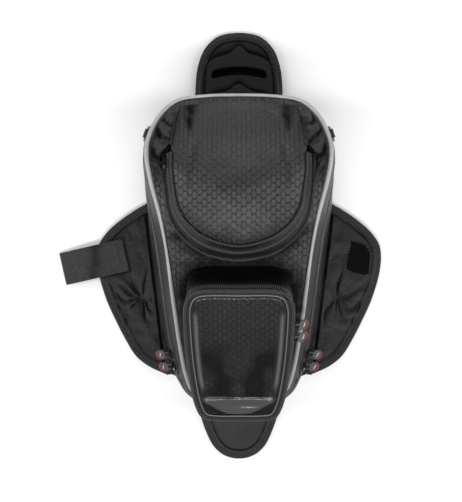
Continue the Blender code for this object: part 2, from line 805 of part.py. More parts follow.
def make_hardware(metal, rubber, grey, webbing):
    for name, side in (("right", 1), ("left", -1)):
        for place_name, y in zip(("upper", "lower"), MAIN_SLIDERS_Y):
            spot = wall_spot(y, side, zip_height, BEAD + 3 * GAP)
            make_slider(f"main_slider_{name}_{place_name}", metal, spot)
            down = Vector((0, 0, -1))
            make_pull(f"main_pull_{name}_{place_name}", rubber, spot, down, MAIN_PULL_TILT)
        make_ring(name, side, grey, webbing)
    for place_name, u in zip(("upper", "lower"), PHONE_SLIDERS_U):
        spot = phone_spot(u)
        make_slider(f"phone_slider_{place_name}", metal, spot)
        make_pull(f"phone_pull_{place_name}", rubber, spot, -OUT, PHONE_PULL_TILT)
    make_slider("dome_slider", metal, dome_spot(DOME_SLIDER_Y))


def make_ring(name, side, grey, webbing):
    """D-ring on a folded webbing tab, for a carrying strap."""
    spot, along, outward = wall_spot(RING_Y, side, lambda row: RING_Z, GAP)
    bar = spot + outward * TAB_REACH
    radius = RING_WIRE + GAP
    wrap = radius + 1.3
    turns = [math.radians(a) for a in range(-90, 91, 30)]
    outer = [(0, -wrap), *[(TAB_REACH + wrap * math.cos(a), wrap * math.sin(a)) for a in turns]]
    outer.append((0, wrap))
    inner = [(0, radius)]
    inner += [(TAB_REACH + radius * math.cos(a), radius * math.sin(a)) for a in reversed(turns)]
    inner.append((0, -radius))
    up = Vector((0, 0, 1))
    sections = [
        [spot + along * x + outward * d + up * z for d, z in [*outer, *inner]]
        for x in (-TAB_WIDTH / 2, TAB_WIDTH / 2)
    ]
    add_piece(f"ring_tab_{name}", loft(sections), webbing)
    arc = [math.radians(a) for a in range(0, 181, 20)]
    path = [bar + along * RING_HALF * math.cos(a) - up * RING_DEPTH * math.sin(a) for a in arc]
    path += [bar - along * RING_HALF * s for s in (0.5, 0, -0.5)]
    add_piece(f"side_ring_{name}", tube(path, RING_WIRE, True, sides=6), grey, bar, 60)


def main():
    clear_scene()
    nylon = material("nylon", (0.022, 0.022, 0.025), 0.62)
    hex_fabric = material("hex_fabric", (0.03, 0.03, 0.033), 0.5)
    tape = material("zip_tape", (0.012, 0.012, 0.013), 0.6)
    piping = material("dark_piping", (0.03, 0.03, 0.032), 0.4)
    reflective = material("reflective_piping", (0.55, 0.56, 0.57), 0.4)
    binding = material("binding", (0.02, 0.02, 0.021), 0.75)
    grip = material("grip_rubber", (0.015, 0.015, 0.015), 0.85)
    board = material("board", (0.05, 0.05, 0.05), 0.5)
    magnet = material("magnet", (0.3, 0.3, 0.31), 0.35, metallic=1.0)
    clear = material("clear_vinyl", (0.75, 0.78, 0.8), 0.08, alpha=0.3)
    loop = material("loop_fabric", (0.01, 0.01, 0.01), 0.95)
    metal = material("black_metal", (0.02, 0.02, 0.02), 0.25, metallic=0.8)
    rubber = material("pull_rubber", (0.25, 0.25, 0.26), 0.5)
    grey = material("grey_ring", (0.3, 0.3, 0.31), 0.4)
    make_base(grip, board)
    make_tub(nylon)
    zip_half("main_zip_lower", tape, lower=True)
    make_lid(nylon, hex_fabric, reflective, tape)
    make_dome(hex_fabric, nylon, tape, piping)
    make_gusset("gusset_right", 1, nylon)
    make_gusset("gusset_left", -1, nylon)
    make_phone_pocket(nylon, tape, piping, binding, clear)
    make_flaps((nylon, grip, binding, magnet))
    make_strap(binding, loop)
    make_hardware(metal, rubber, grey, binding)


main()
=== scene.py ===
"""Looks of the tank bag: fabric shells, zips, piping, clear window, flaps and materials,
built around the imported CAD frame. Lengths here are millimetres; make() turns them into metres.
"""
import json
import math
from types import SimpleNamespace

import bmesh
import bpy
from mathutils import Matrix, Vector, noise

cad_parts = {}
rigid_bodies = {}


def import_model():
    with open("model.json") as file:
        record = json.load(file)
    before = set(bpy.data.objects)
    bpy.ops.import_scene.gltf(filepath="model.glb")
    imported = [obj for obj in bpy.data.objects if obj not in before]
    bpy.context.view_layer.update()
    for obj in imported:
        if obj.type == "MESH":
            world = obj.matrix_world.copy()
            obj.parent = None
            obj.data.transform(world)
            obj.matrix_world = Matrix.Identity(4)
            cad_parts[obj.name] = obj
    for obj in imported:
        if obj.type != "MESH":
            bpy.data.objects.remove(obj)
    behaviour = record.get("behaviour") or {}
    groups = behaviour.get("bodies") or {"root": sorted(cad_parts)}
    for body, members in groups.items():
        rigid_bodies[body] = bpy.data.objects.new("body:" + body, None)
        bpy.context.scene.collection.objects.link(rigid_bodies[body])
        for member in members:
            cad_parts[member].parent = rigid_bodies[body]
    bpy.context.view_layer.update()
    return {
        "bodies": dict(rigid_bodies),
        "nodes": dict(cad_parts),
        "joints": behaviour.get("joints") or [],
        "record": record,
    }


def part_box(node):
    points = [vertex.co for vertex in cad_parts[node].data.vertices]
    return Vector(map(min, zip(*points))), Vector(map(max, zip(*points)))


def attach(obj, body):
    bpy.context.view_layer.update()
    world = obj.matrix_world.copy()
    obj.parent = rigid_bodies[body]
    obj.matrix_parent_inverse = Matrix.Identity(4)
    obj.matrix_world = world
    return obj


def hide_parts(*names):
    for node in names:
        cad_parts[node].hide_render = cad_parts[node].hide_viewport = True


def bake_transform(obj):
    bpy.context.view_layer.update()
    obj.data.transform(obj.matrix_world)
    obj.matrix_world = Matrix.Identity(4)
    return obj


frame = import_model()
NODES = frame["nodes"]
JOINTS = {joint["name"]: joint for joint in frame["joints"]}

MM = 0.001
GAP = 0.3  # between pieces that touch
FINE = 6  # curve steps between neighbouring outline rows
# Body: half outline from the tail to the front, as (foot x, foot y, top x, top y)
BODY_ROWS = [
    (0, -178, 0, -172),
    (36, -174, 33, -168),
    (58, -162, 51, -158),
    (70, -145, 59, -138),
    (81, -116, 64.5, -105),
    (87.5, -86, 68, -75),
    (92.5, -46, 72, -38),
    (99, 6, 77, 6),
    (103.5, 38, 82.5, 38),
    (104, 68, 90.5, 70),
    (102.5, 97, 95, 96),
    (99, 120, 93.5, 115),
    (88, 145, 83, 139),
    (69, 159, 64, 156.5),
    (38, 165, 36, 161.5),
    (0, 166, 0, 162.5),
]
# Height of the lid's edge along the bag, as (y, z)
TOP_EDGE = [
    (-180, 46), (-158, 53), (-105, 80), (-60, 104), (-10, 128),
    (36, 145), (78, 152), (112, 148), (140, 139), (168, 126),
]
WALL = 3.5  # padded side wall
BULGE = 5.0  # how far the side wall bellies out at half height
BASE_Z = 6.4  # underside of the tub, on the grip sheet and the board
FLOOR = 3.0
ZIP_SHARE = 0.6  # the main zip runs at this share of the side wall's height
ZIP_END_Y = -138.0  # behind this the tub and the lid meet in a fabric hinge
TAPE = 8.0  # each half of the main zip
TAPE_THICK = 1.6
PIPING_R = 2.3
PANEL = 2.4  # thickness of the lid's top panel
LID_HINGE = (0, -178.5, 27.8)

# Domed pocket: half outline from its rear centre, as (rim x, rim y, rim z, foot x, foot y)
DOME_ROWS = [
    (0, 4, 173, 0, -9.5),
    (30, 11, 174, 33, -3.5),
    (50, 24.5, 175, 56, 12),
    (62, 43, 175.5, 70, 33),
    (66.5, 66, 175.5, 75, 60),
    (68.5, 85, 174.5, 76.5, 83),
    (68.5, 99, 171, 76, 99),
]
DOME_FRONT_ROWS = [(68.5, 101, 170), (68, 114, 163.5), (66, 131, 151.5), (61, 150, 140.5)]
DOME_CROWN = [  # height of the dome's middle line, as (y, z)
    (4, 173), (12, 179), (25, 185), (45, 190.5), (62, 192), (80, 189.5),
    (100, 182.5), (120, 171), (140, 155), (158, 137.5),
]
DOME_SKIN = 3.0
DOME_WALL = 2.5
DOME_PIPING_R = 1.8
GUSSET_ROWS = [  # right side, as (inner x, y, inner z above the panel, outer x)
    (77.5, 70, 2.2, 85.5), (79.5, 85, 2.2, 88.5), (80.5, 96, 4.5, 90.3), (74, 104, 11, 90.3),
    (69.6, 114, 16, 88.5), (67.8, 129, 13, 83.5), (63.6, 144, 6.0, 73.5),
]
GUSSET = 2.0

# Phone pocket, in its own slope frame: x across, u down the slope, n out of the lid
PHONE_O = Vector((0, -13, 127))
PHONE_SLOPE = math.radians(26.4)
PHONE_ROWS = [  # half outline from the upper end to the lower, as (x, u)
    (0, 3), (34, 3), (48, 8), (54.5, 20), (56, 40), (54, 88),
    (49.5, 130), (44.5, 153), (37.5, 165), (22, 168), (0, 168),
]
PHONE_FOOT = 1.7  # n of the wall's foot
PHONE_ZIP_N = 38.0  # n of the line between the zip's halves
PHONE_ZIP_END = 146.0  # below this the cover is joined by fabric
PHONE_TAPE = 4.6
PHONE_RIM_LOW = 41.3
PHONE_RIM_TOP = 43.2
PHONE_WALL = 2.5
PHONE_PIPING_R = 2.0
PHONE_PIPING_N = 45.4
FRAME_WIDTH = 3.0  # bound edge round the clear window
FRAME_LOW = 44.2
FRAME_TOP = 46.2
PHONE_LEAN = 7.0  # how far the upper wall leans down the slope at the piping
PHONE_LEAN_END = 60.0  # u where that lean has faded out

# Magnet flaps: layers by height, shared by all four
PAD = (2.3, 6.2)
BINDING_WIDTH = 9.5
BINDING_THICK = 0.8
FLAP_TOP = 7.3
FLAP_HINGE_Z = 4.0
FRONT_FLAP = [(0, 253), (24, 248.5), (40, 234), (48, 213), (50.5, 190), (50.5, 170)]
REAR_FLAP = [
    (0, -243), (11, -241.4), (21.5, -236.3), (31, -226.5), (38.5, -211), (44.5, -194), (47.5, -182),
]
WING_FLAP = [  # right wing from its front end round to its rear end
    (109.5, 53), (123, 45), (140, 33), (155, 19), (164.5, 2), (164, -24), (155, -56),
    (143, -83), (130, -108), (119, -124.5), (104, -136), (85.5, -144.5),
]
WING_AXIS = (Vector((108, 54, FLAP_HINGE_Z)), Vector((83.5, -145.5, FLAP_HINGE_Z)))
WING_MAGNET = (113, -55)

# Strap on the left wing and the patch it closes on, on the right wing
STRAP_WIDTH = 38.0
STRAP_START = Vector((-131, -5.5, FLAP_TOP + GAP))
STRAP_TURN = 12.8  # degrees that the strap points to the rear
STRAP_SEWN = 37.5  # length sewn to the wing
STRAP_FREE = 37.7  # length that hangs loose
STRAP_FOLD = 1.1  # length of the bend between them
STRAP_DROP = 5.5  # how far the loose end hangs down
PATCH = [(129.5, 12.5), (147, 7), (153.5, -2.5), (152, -28), (147, -31.5), (122.5, -23.5)]
PATCH_THICK = 2.2

# Looks only
HEX_ACROSS = 0.0098  # two columns of the hexagon pattern, in metres
HEX_ALONG = 0.0079  # one hexagon of a column, in metres
BLACK = (0.0008, 0.0008, 0.0008, 1)  # painted shade: the colour at the bottom of a crease
TOOTH = (0.95, 2.2, 1.1)  # along the zip, towards its tape, outward
TOOTH_PITCH = 2.2
STITCH_WIDTH = 0.55
STITCH_HEIGHT = 0.45
UP = Vector((0, 0, 1))
# Lower edges of the front pad's chevrons, as (distance from its middle, y)
FRONT_CHEVRON = [(0, 238.5), (4, 236.5), (9, 231.5), (14, 228.6), (20, 227.2), (28, 224), (40, 216)]
LOW_CHEVRON = [(0, 193.8), (5, 192), (11, 187.5), (16, 185), (28, 182.5), (40, 178)]
WINDOW_ROLL = 2.2  # height of the window's rolled edge
FOLD_U = 140.0  # the window's raised plate, from here
FOLD_END = 159.0  # to here
SLOT_Y = 208.0  # middle of the front pad's arched slot
SLOT_SAG = 5.0
SLOT_HALF = 31.5
SLOT_WIDTH = 7.5
CAMERA_HEIGHT = 1.25
CAMERA_LENS = 76.6
CAMERA_SHIFT = (-0.0159, -0.002)  # share of the picture's longer side, to the left and down


# ---------------------------------------------------------------- curves and outlines

def value_at(points, t):
    """Height at t of a smooth curve through (t, value) points in rising order of t."""
    last = len(points) - 1
    if t <= points[0][0]:
        return points[0][1]
    if t >= points[last][0]:
        return points[last][1]
    i = max(k for k in range(last) if points[k][0] <= t)

    def slope(k):
        a, b = points[max(k - 1, 0)], points[min(k + 1, last)]
        return (b[1] - a[1]) / (b[0] - a[0])

    width = points[i + 1][0] - points[i][0]
    s = (t - points[i][0]) / width
    low, high = points[i][1], points[i + 1][1]
    return (
        low * (1 + 2 * s) * (1 - s) ** 2
        + high * s * s * (3 - 2 * s)
        + slope(i) * width * s * (1 - s) ** 2
        - slope(i + 1) * width * s * s * (1 - s)
    )


def spline(rows, steps, closed):
    """Rows of numbers along a Catmull-Rom curve through the given rows."""
    count = len(rows)
    spans = count if closed else count - 1

    def row(k):
        if closed:
            return rows[k % count]
        if k < 0:
            return [2 * a - b for a, b in zip(rows[0], rows[1])]
        if k >= count:
            return [2 * a - b for a, b in zip(rows[-1], rows[-2])]
        return rows[k]

    out = []
    for k in range(spans):
        a, b, c, d = row(k - 1), row(k), row(k + 1), row(k + 2)
        for part in range(steps):
            t = part / steps
            out.append([
                0.5 * (2 * q + (r - p) * t + (2 * p - 5 * q + 4 * r - s) * t * t
                       + (3 * q - p - 3 * r + s) * t ** 3)
                for p, q, r, s in zip(a, b, c, d)
            ])
    if not closed:
        out.append(list(rows[-1]))
    return out


def mirrored(row, x_columns):
    """Outline row with the sign of its x values changed."""
    return [-v if k in x_columns else v for k, v in enumerate(row)]


def whole_loop(half, x_columns, steps):
    """Closed clockwise loop from half rows that run from the rear centre to the front."""
    left = [mirrored(row, x_columns) for row in half[1:-1]]
    right = list(reversed(half[1:-1]))
    return spline([half[0], *left, half[-1], *right], steps, closed=True)


def whole_arch(half, x_columns, steps):
    """Open arch, right end to left end, from half rows that start at its middle."""
    right = list(reversed(half[1:]))
    left = [mirrored(row, x_columns) for row in half[1:]]
    return spline([*right, half[0], *left], steps, closed=False)


def push_out(points, distance, closed):
    """Points moved sideways to the left of their path, which is out on a clockwise one."""
    count = len(points)
    moved = []
    for k, (x, y) in enumerate(points):
        if closed:
            a, b = points[k - 1], points[(k + 1) % count]
        else:
            a, b = points[max(k - 1, 0)], points[min(k + 1, count - 1)]
        dx, dy = b[0] - a[0], b[1] - a[1]
        size = math.hypot(dx, dy)
        shift = distance[k] if isinstance(distance, list) else distance
        moved.append((x - dy / size * shift, y + dx / size * shift))
    return moved


# ---------------------------------------------------------------- materials

class Shader:
    """A Principled material with short helpers for its procedural nodes."""

    def __init__(self, name, color, roughness, **sockets):
        self.material = bpy.data.materials.new(name)
        self.material.use_nodes = True
        self.tree = self.material.node_tree
        self.bsdf = self.tree.nodes["Principled BSDF"]
        self.color = color
        self.bsdf.inputs["Base Color"].default_value = (*color, 1)
        self.bsdf.inputs["Roughness"].default_value = roughness
        for socket, value in sockets.items():
            self.bsdf.inputs[socket.replace("_", " ")].default_value = value
        self.coordinates = self.node("ShaderNodeTexCoord").outputs["Object"]
        self.normal = None

    def node(self, kind, **settings):
        made = self.tree.nodes.new(kind)
        for key, value in settings.items():
            setattr(made, key, value)
        return made

    def feed(self, socket, value):
        """Link another node's output to a socket, or set its value."""
        if isinstance(value, bpy.types.NodeSocket):
            self.tree.links.new(value, socket)
        else:
            socket.default_value = value

    def math(self, operation, *values):
        made = self.node("ShaderNodeMath", operation=operation)
        for socket, value in zip(made.inputs, values):
            self.feed(socket, value)
        return made.outputs[0]

    def vector(self, operation, *values):
        made = self.node("ShaderNodeVectorMath", operation=operation)
        for socket, value in zip(made.inputs, values):
            self.feed(socket, value)
        return made.outputs["Value" if operation in ("DOT_PRODUCT", "LENGTH") else "Vector"]

    def noise(self, scale, detail=3.0):
        made = self.node("ShaderNodeTexNoise")
        made.inputs["Scale"].default_value = scale
        made.inputs["Detail"].default_value = detail
        self.feed(made.inputs["Vector"], self.coordinates)
        return made.outputs["Fac"]

    def waves(self, pitch, direction):
        """Rounded ridges with the given pitch in metres across a direction."""
        along = self.vector("DOT_PRODUCT", self.coordinates, Vector(direction).normalized())
        turned = self.math("MULTIPLY", along, 2 * math.pi / pitch)
        return self.math("MULTIPLY_ADD", self.math("SINE", turned), 0.5, 0.5)

    def bump(self, height, strength, distance):
        """Relief on top of the relief made so far."""
        made = self.node("ShaderNodeBump")
        made.inputs["Strength"].default_value = strength
        made.inputs["Distance"].default_value = distance
        self.feed(made.inputs["Height"], height)
        if self.normal is not None:
            self.feed(made.inputs["Normal"], self.normal)
        self.normal = made.outputs["Normal"]
        self.feed(self.bsdf.inputs["Normal"], self.normal)

    def tint(self, share, dark, light):
        """Base colour from dark to light as share goes from 0 to 1."""
        made = self.node("ShaderNodeMix", data_type="RGBA")
        self.feed(made.inputs[0], share)
        made.inputs[6].default_value = (*[c * dark for c in self.color], 1)
        made.inputs[7].default_value = (*[c * light for c in self.color], 1)
        self.feed(self.bsdf.inputs["Base Color"], made.outputs[2])

    def crease(self):
        """Share of painted light, 0 to 1, from its mesh's crease layer: painted shade on most
        pieces, painted highlight on the clear window.
        """
        return self.node("ShaderNodeAttribute", attribute_name="crease").outputs["Fac"]

    def paint_crease_shade(self):
        """Painted shade, darker and duller, where the crease layer marks shade: in folds, slots and
        seams and beside other parts.
        """
        share = self.math("MINIMUM", self.crease(), 1.0)
        source = self.bsdf.inputs["Base Color"].links[0].from_socket
        made = self.node("ShaderNodeMix", data_type="RGBA")
        self.feed(made.inputs[0], share)
        self.feed(made.inputs[6], source)
        made.inputs[7].default_value = BLACK
        self.feed(self.bsdf.inputs["Base Color"], made.outputs[2])
        level = self.bsdf.inputs["Specular IOR Level"]
        kept = level.default_value
        self.feed(level, self.math("MULTIPLY_ADD", share, -0.9 * kept, kept))

    def rough(self, share, low, high):
        """Roughness from low to high as share goes from 0 to 1."""
        spread = self.math("MULTIPLY_ADD", share, high - low, low)
        self.feed(self.bsdf.inputs["Roughness"], spread)


def nylon_material():
    """Plain woven nylon with a soft sheen."""
    made = Shader("nylon", (0.006, 0.006, 0.0063), 0.5, Sheen_Weight=0.02, Sheen_Roughness=0.4,
                  Specular_IOR_Level=0.3)
    weave = made.math(
        "MULTIPLY", made.waves(0.0009, (1, 0.12, 0.35)), made.waves(0.0009, (-0.12, 1, 0.35))
    )
    cloudy = made.noise(70, 4)
    made.tint(made.math("MULTIPLY_ADD", weave, 0.4, made.math("MULTIPLY", cloudy, 0.6)), 0.4, 1.7)
    made.rough(cloudy, 0.35, 0.6)
    made.bump(weave, 0.5, 0.0002)
    made.bump(made.noise(240, 4), 0.6, 0.0007)
    made.bump(made.noise(60, 3), 0.5, 0.002)
    made.paint_crease_shade()
    return made.material


def hex_material(name, color):
    """Coated fabric with embossed hexagons in columns, taller than they are wide."""
    made = Shader(name, color, 0.42, Sheen_Weight=0.03, Specular_IOR_Level=0.5)
    cloth = made.node("ShaderNodeAttribute", attribute_name="cloth").outputs["Vector"]
    period = (math.sqrt(3), 1, 1)
    cell = made.vector("MULTIPLY", cloth, (math.sqrt(3) / HEX_ACROSS, 1 / HEX_ALONG, 0))

    def offset_cell(shift):
        moved = made.vector("ADD", cell, shift)
        wrapped = made.node("ShaderNodeVectorMath", operation="WRAP")
        made.feed(wrapped.inputs[0], moved)
        wrapped.inputs[1].default_value = [p / 2 for p in period]
        wrapped.inputs[2].default_value = [-p / 2 for p in period]
        return wrapped.outputs["Vector"]

    one = offset_cell((0, 0, 0))
    two = offset_cell((period[0] / 2, period[1] / 2, 0))
    nearer = made.math("LESS_THAN", made.vector("LENGTH", one), made.vector("LENGTH", two))
    pick = made.node("ShaderNodeMix", data_type="VECTOR")
    made.feed(pick.inputs[0], nearer)
    made.feed(pick.inputs[4], two)
    made.feed(pick.inputs[5], one)
    folded = made.vector("ABSOLUTE", pick.outputs[1])
    slanted = made.vector("DOT_PRODUCT", folded, (math.sqrt(3) / 2, 0.5, 0))
    upright = made.vector("DOT_PRODUCT", folded, (0, 1, 0))
    reach = made.math("MAXIMUM", slanted, upright)
    groove = made.node("ShaderNodeMapRange", interpolation_type="SMOOTHSTEP")
    made.feed(groove.inputs["Value"], reach)
    groove.inputs["From Min"].default_value = 0.40
    groove.inputs["From Max"].default_value = 0.49
    line = groove.outputs["Result"]
    cloudy = made.noise(45, 4)
    shade = made.math("SUBTRACT", made.math("MULTIPLY_ADD", cloudy, 0.5, 0.5), line)
    made.tint(shade, 0.12, 1.35)
    made.rough(line, 0.5, 0.3)
    made.bump(made.math("SUBTRACT", 1.0, line), 1.0, 0.0007)
    made.bump(made.noise(260, 4), 0.6, 0.0005)
    made.bump(made.noise(70, 3), 0.5, 0.0015)
    made.paint_crease_shade()
    return made.material


def webbing_material(name, color, diagonal=(1, 1, 0), pitch=0.0026):
    """Twill webbing: diagonal ribs crossed by a fine thread."""
    made = Shader(name, color, 0.7, Sheen_Weight=0.06, Sheen_Roughness=0.5,
                  Specular_IOR_Level=0.3)
    rib = made.waves(pitch, diagonal)
    thread = made.waves(pitch * 0.45, (diagonal[1], -diagonal[0], 0.4))
    both = made.math("MULTIPLY", rib, made.math("MULTIPLY_ADD", thread, 0.4, 0.6))
    made.tint(made.math("MULTIPLY", both, made.noise(420, 2)), 0.1, 6.0)
    made.bump(both, 0.9, 0.0006)
    made.bump(made.noise(300, 3), 0.5, 0.0005)
    made.paint_crease_shade()
    return made.material


def tape_material():
    """Knitted zip tape with fine ribs along it."""
    made = Shader("zip_tape", (0.01, 0.01, 0.0105), 0.65, Sheen_Weight=0.03,
                  Specular_IOR_Level=0.25)
    ribs = made.waves(0.0011, (0, 0.2, 1))
    made.tint(ribs, 0.6, 1.5)
    made.bump(ribs, 0.6, 0.0003)
    return made.material


def plain_material(name, color, roughness, grain=400, depth=0.0002, **sockets):
    """Moulded or coated surface with a fine grain."""
    made = Shader(name, color, roughness, **sockets)
    grain_height = made.noise(grain, 3)
    made.tint(grain_height, 0.8, 1.2)
    made.rough(made.noise(60, 3), roughness * 0.85, min(1, roughness * 1.15))
    made.bump(grain_height, 0.35, depth)
    return made.material


def foam_material():
    """Fabric over moulded foam, smooth with a fine grain."""
    made = Shader("moulded_foam", (0.009, 0.009, 0.0095), 0.5, Specular_IOR_Level=0.25)
    grain = made.noise(500, 3)
    made.tint(grain, 0.6, 1.4)
    made.bump(grain, 0.4, 0.0003)
    made.paint_crease_shade()
    return made.material


def reflective_material():
    """Reflective piping: pale grey film with a faint bead texture."""
    made = Shader("reflective", (0.35, 0.36, 0.365), 0.42, Metallic=0.1)
    beads = made.node("ShaderNodeTexVoronoi")
    beads.inputs["Scale"].default_value = 1400
    made.feed(beads.inputs["Vector"], made.coordinates)
    made.tint(made.noise(90, 3), 0.86, 1.12)
    made.bump(beads.outputs["Distance"], 0.3, 0.0001)
    return made.material


def vinyl_material():
    """Clear glossy vinyl with soft ripples; painted highlight where its crease layer says so,
    lighter and less clear there.
    """
    made = Shader("clear_vinyl", (0.02, 0.02, 0.021), 0.06, IOR=1.5)
    made.rough(made.noise(30, 3), 0.05, 0.16)
    made.bump(made.noise(24, 2), 0.25, 0.002)
    painted_highlight = made.crease()
    # painted highlight from the crease layer: up to nine times lighter, and less clear
    made.tint(painted_highlight, 1, 9)
    made.feed(made.bsdf.inputs["Alpha"], made.math("MULTIPLY_ADD", painted_highlight, 0.35, 0.28))
    return made.material


def metal_material():
    """Gloss black plated metal, worn a little at random."""
    made = Shader("black_metal", (0.03, 0.03, 0.032), 0.22, Metallic=0.9, Coat_Weight=0.3)
    made.tint(made.noise(250, 4), 0.6, 2.4)
    made.rough(made.noise(120, 3), 0.15, 0.35)
    return made.material


# ---------------------------------------------------------------- making pieces

def make(name, bm, mat, body, replaced=(), smooth=True, angle=50):
    """Object from a mesh in millimetres, riding on a body; body None leaves it for a blend."""
    bmesh.ops.scale(bm, vec=(MM, MM, MM), verts=bm.verts)
    bmesh.ops.recalc_face_normals(bm, faces=bm.faces)
    mesh = bpy.data.meshes.new(name)
    bm.to_mesh(mesh)
    bm.free()
    mesh.materials.append(mat)
    if smooth:
        mesh.shade_smooth()
        mesh.set_sharp_from_angle(angle=math.radians(angle))
    piece = bpy.data.objects.new(name, mesh)
    bpy.context.scene.collection.objects.link(piece)
    if body:
        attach(piece, body)
    if replaced:
        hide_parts(*replaced)
    return piece


def loft(loops, closed=False, bm=None):
    """Skin between loops of points; open ends are closed by a face each."""
    bm = bm or bmesh.new()
    rings = [[bm.verts.new(p) for p in loop] for loop in loops]
    size = len(rings[0])
    pairs = list(zip(rings, rings[1:]))
    if closed:
        pairs.append((rings[-1], rings[0]))
    for low, high in pairs:
        for k in range(size):
            n = (k + 1) % size
            bm.faces.new((low[k], low[n], high[n], high[k]))
    if not closed:
        bm.faces.new(rings[0])
        bm.faces.new(list(reversed(rings[-1])))
    return bm


def strip(lines):
    """Open strip whose cross-section has one point from each line."""
    return loft([list(section) for section in zip(*lines)])


def tube(points, radius, closed, sides):
    """Round cord along a path; radius is a number or a function of the point."""
    points = [Vector(p) for p in points]
    count = len(points)
    sections = []
    for k, p in enumerate(points):
        if closed:
            along = points[(k + 1) % count] - points[k - 1]
        else:
            along = points[min(k + 1, count - 1)] - points[max(k - 1, 0)]
        along.normalize()
        side = along.cross(UP).normalized()
        up = side.cross(along)
        r = radius(p) if callable(radius) else radius
        turns = [2 * math.pi * (s + 0.5) / sides for s in range(sides)]
        sections.append([p + r * (math.cos(a) * side + math.sin(a) * up) for a in turns])
    return loft(sections, closed)


def wobble(p, size, amount, seed=0.0):
    """Smooth random height at a point, for creased cloth."""
    place = Vector((p[0] / size + seed, p[1] / size - seed, p[2] / size))
    return amount * noise.noise(place)


def step(low, high, value):
    """0 below low, 1 above high, smooth between."""
    t = min(max((value - low) / (high - low), 0), 1)
    return t * t * (3 - 2 * t)


def spaced(points, gap):
    """(point, direction) pairs at an even spacing along a path."""
    points = [Vector(p) for p in points]
    found = []
    left = gap / 2
    for a, b in zip(points, points[1:]):
        run = (b - a).length
        if run < 1e-6:
            continue
        along = (b - a) / run
        place = left
        while place < run:
            found.append((a + along * place, along))
            place += gap
        left = place - run
    return found


def add_block(bm, centre, x_axis, y_axis, z_axis, size):
    """Small block with tapered top, one tooth or stitch."""
    corners = []
    for z, taper in ((-0.5, 1.0), (0.5, 0.6)):
        for x, y in ((-0.5, -0.5), (0.5, -0.5), (0.5, 0.5), (-0.5, 0.5)):
            corners.append(bm.verts.new(
                centre + x_axis * x * size[0] * taper + y_axis * y * size[1] * taper
                + z_axis * z * size[2]
            ))
    low, top = corners[:4], corners[4:]
    bm.faces.new(low[::-1])
    bm.faces.new(top)
    for k in range(4):
        n = (k + 1) % 4
        bm.faces.new((low[k], low[n], top[n], top[k]))


def teeth(name, mat, body, edge, outer):
    """Row of zip teeth along an edge; outer is the same edge moved towards its tape."""
    bm = bmesh.new()
    points = [Vector(p) for p in edge]
    towards_tape = [Vector(b) - a for a, b in zip(points, outer)]
    for p, along in spaced(points, TOOTH_PITCH):
        near = min(range(len(points)), key=lambda k: (points[k] - p).length_squared)
        back = towards_tape[near].normalized()
        back = (back - along * back.dot(along)).normalized()
        out = along.cross(back)
        if out.dot(outward(p)) < 0:
            out = -out
        add_block(bm, p + back * 0.9 + out * 0.35, along, back, out, TOOTH)
    make(name, bm, mat, body, smooth=False)


def outward(p):
    """Rough outward direction of the bag's side at a point."""
    return Vector((p.x, p.y * 0.25, 6)).normalized()


def stitches(name, path, mat, body, normal=UP, length=2.6, gap=3.8):
    """Row of thread stitches lying on a surface; normal is its direction or finds it."""
    bm = bmesh.new()
    for p, along in spaced(path, gap):
        up = normal(p) if callable(normal) else normal
        side = up.cross(along).normalized()
        add_block(bm, p + up * 0.12, along, side, up, (length, STITCH_WIDTH, STITCH_HEIGHT))
    make(name, bm, mat, body, smooth=False)


def cloth_layer(bm):
    """Layer for each point's place on the flat cloth, in metres, where its pattern is drawn."""
    return bm.verts.layers.float_vector.new("cloth")


def store_painted_light(bm, painted_light_at):
    """Store painted light for each point in the crease layer: the share of painted shade the
    material darkens by, and on the clear window the share of painted highlight.
    """
    layer = bm.verts.layers.float.new("crease")
    for vert in bm.verts:
        vert[layer] = painted_light_at(*vert.co)


def close_sheets(bm, top, bottom):
    """Faces over two grids of points, and round the rim between them."""
    rims = []
    for sheet in (top, bottom):
        for a, b in zip(sheet, sheet[1:]):
            for k in range(len(a) - 1):
                bm.faces.new((a[k], a[k + 1], b[k + 1], b[k]))
        middle = sheet[1:-1]
        right = [line[-1] for line in middle]
        left = [line[0] for line in reversed(middle)]
        rims.append([*sheet[0], *right, *reversed(sheet[-1]), *left])
    upper, lower = rims
    for k in range(len(upper)):
        n = (k + 1) % len(upper)
        bm.faces.new((upper[k], upper[n], lower[n], lower[k]))


def distance_to(points, x, y):
    """From (x, y) to the nearest of some points."""
    return math.sqrt(min((p - Vector((x, y))).length_squared for p in points))


# ---------------------------------------------------------------- phone pocket outline

PHONE = [(x, -v) for x, v in push_out(
    whole_loop([(x, -u) for x, u in reversed(PHONE_ROWS)], (0,), steps=FINE), 0, True)]
DOWN = Vector((0, -math.cos(PHONE_SLOPE), -math.sin(PHONE_SLOPE)))
OUT = Vector((0, -math.sin(PHONE_SLOPE), math.cos(PHONE_SLOPE)))


def on_slope(x, u, n):
    """Point at x, at distance u down the phone pocket's slope and n above the lid."""
    lean = PHONE_LEAN * n / PHONE_PIPING_N * max(0, 1 - u / PHONE_LEAN_END)
    return PHONE_O + x * Vector((1, 0, 0)) + (u + lean) * DOWN + n * OUT


def phone_loop(inset, height, crease=0.0):
    """Loop round the phone pocket, inset from its outline, at height(u) above the lid."""
    insets = [-inset + wobble((x, u, height(u)), 18, crease) for x, u in PHONE]
    flat = push_out([(x, -u) for x, u in PHONE], insets, closed=True)
    return [on_slope(x, -v, height(u)) for (x, v), (_, u) in zip(flat, PHONE)]


def flat_at(n):
    """Height that is the same all round the phone pocket."""
    return lambda u: n


# ---------------------------------------------------------------- body and lid

BODY = whole_loop(BODY_ROWS, (0, 2), steps=FINE)


def top_height(y):
    """Height of the bag's top edge along the bag."""
    return value_at(TOP_EDGE, y)


def zip_height(row):
    """Height of the main zip's middle at an outline row."""
    return ZIP_SHARE * top_height(row[3])


def has_zip(row):
    """Whether the main zip runs past an outline row; it ends short of the tail."""
    return row[3] > ZIP_END_Y


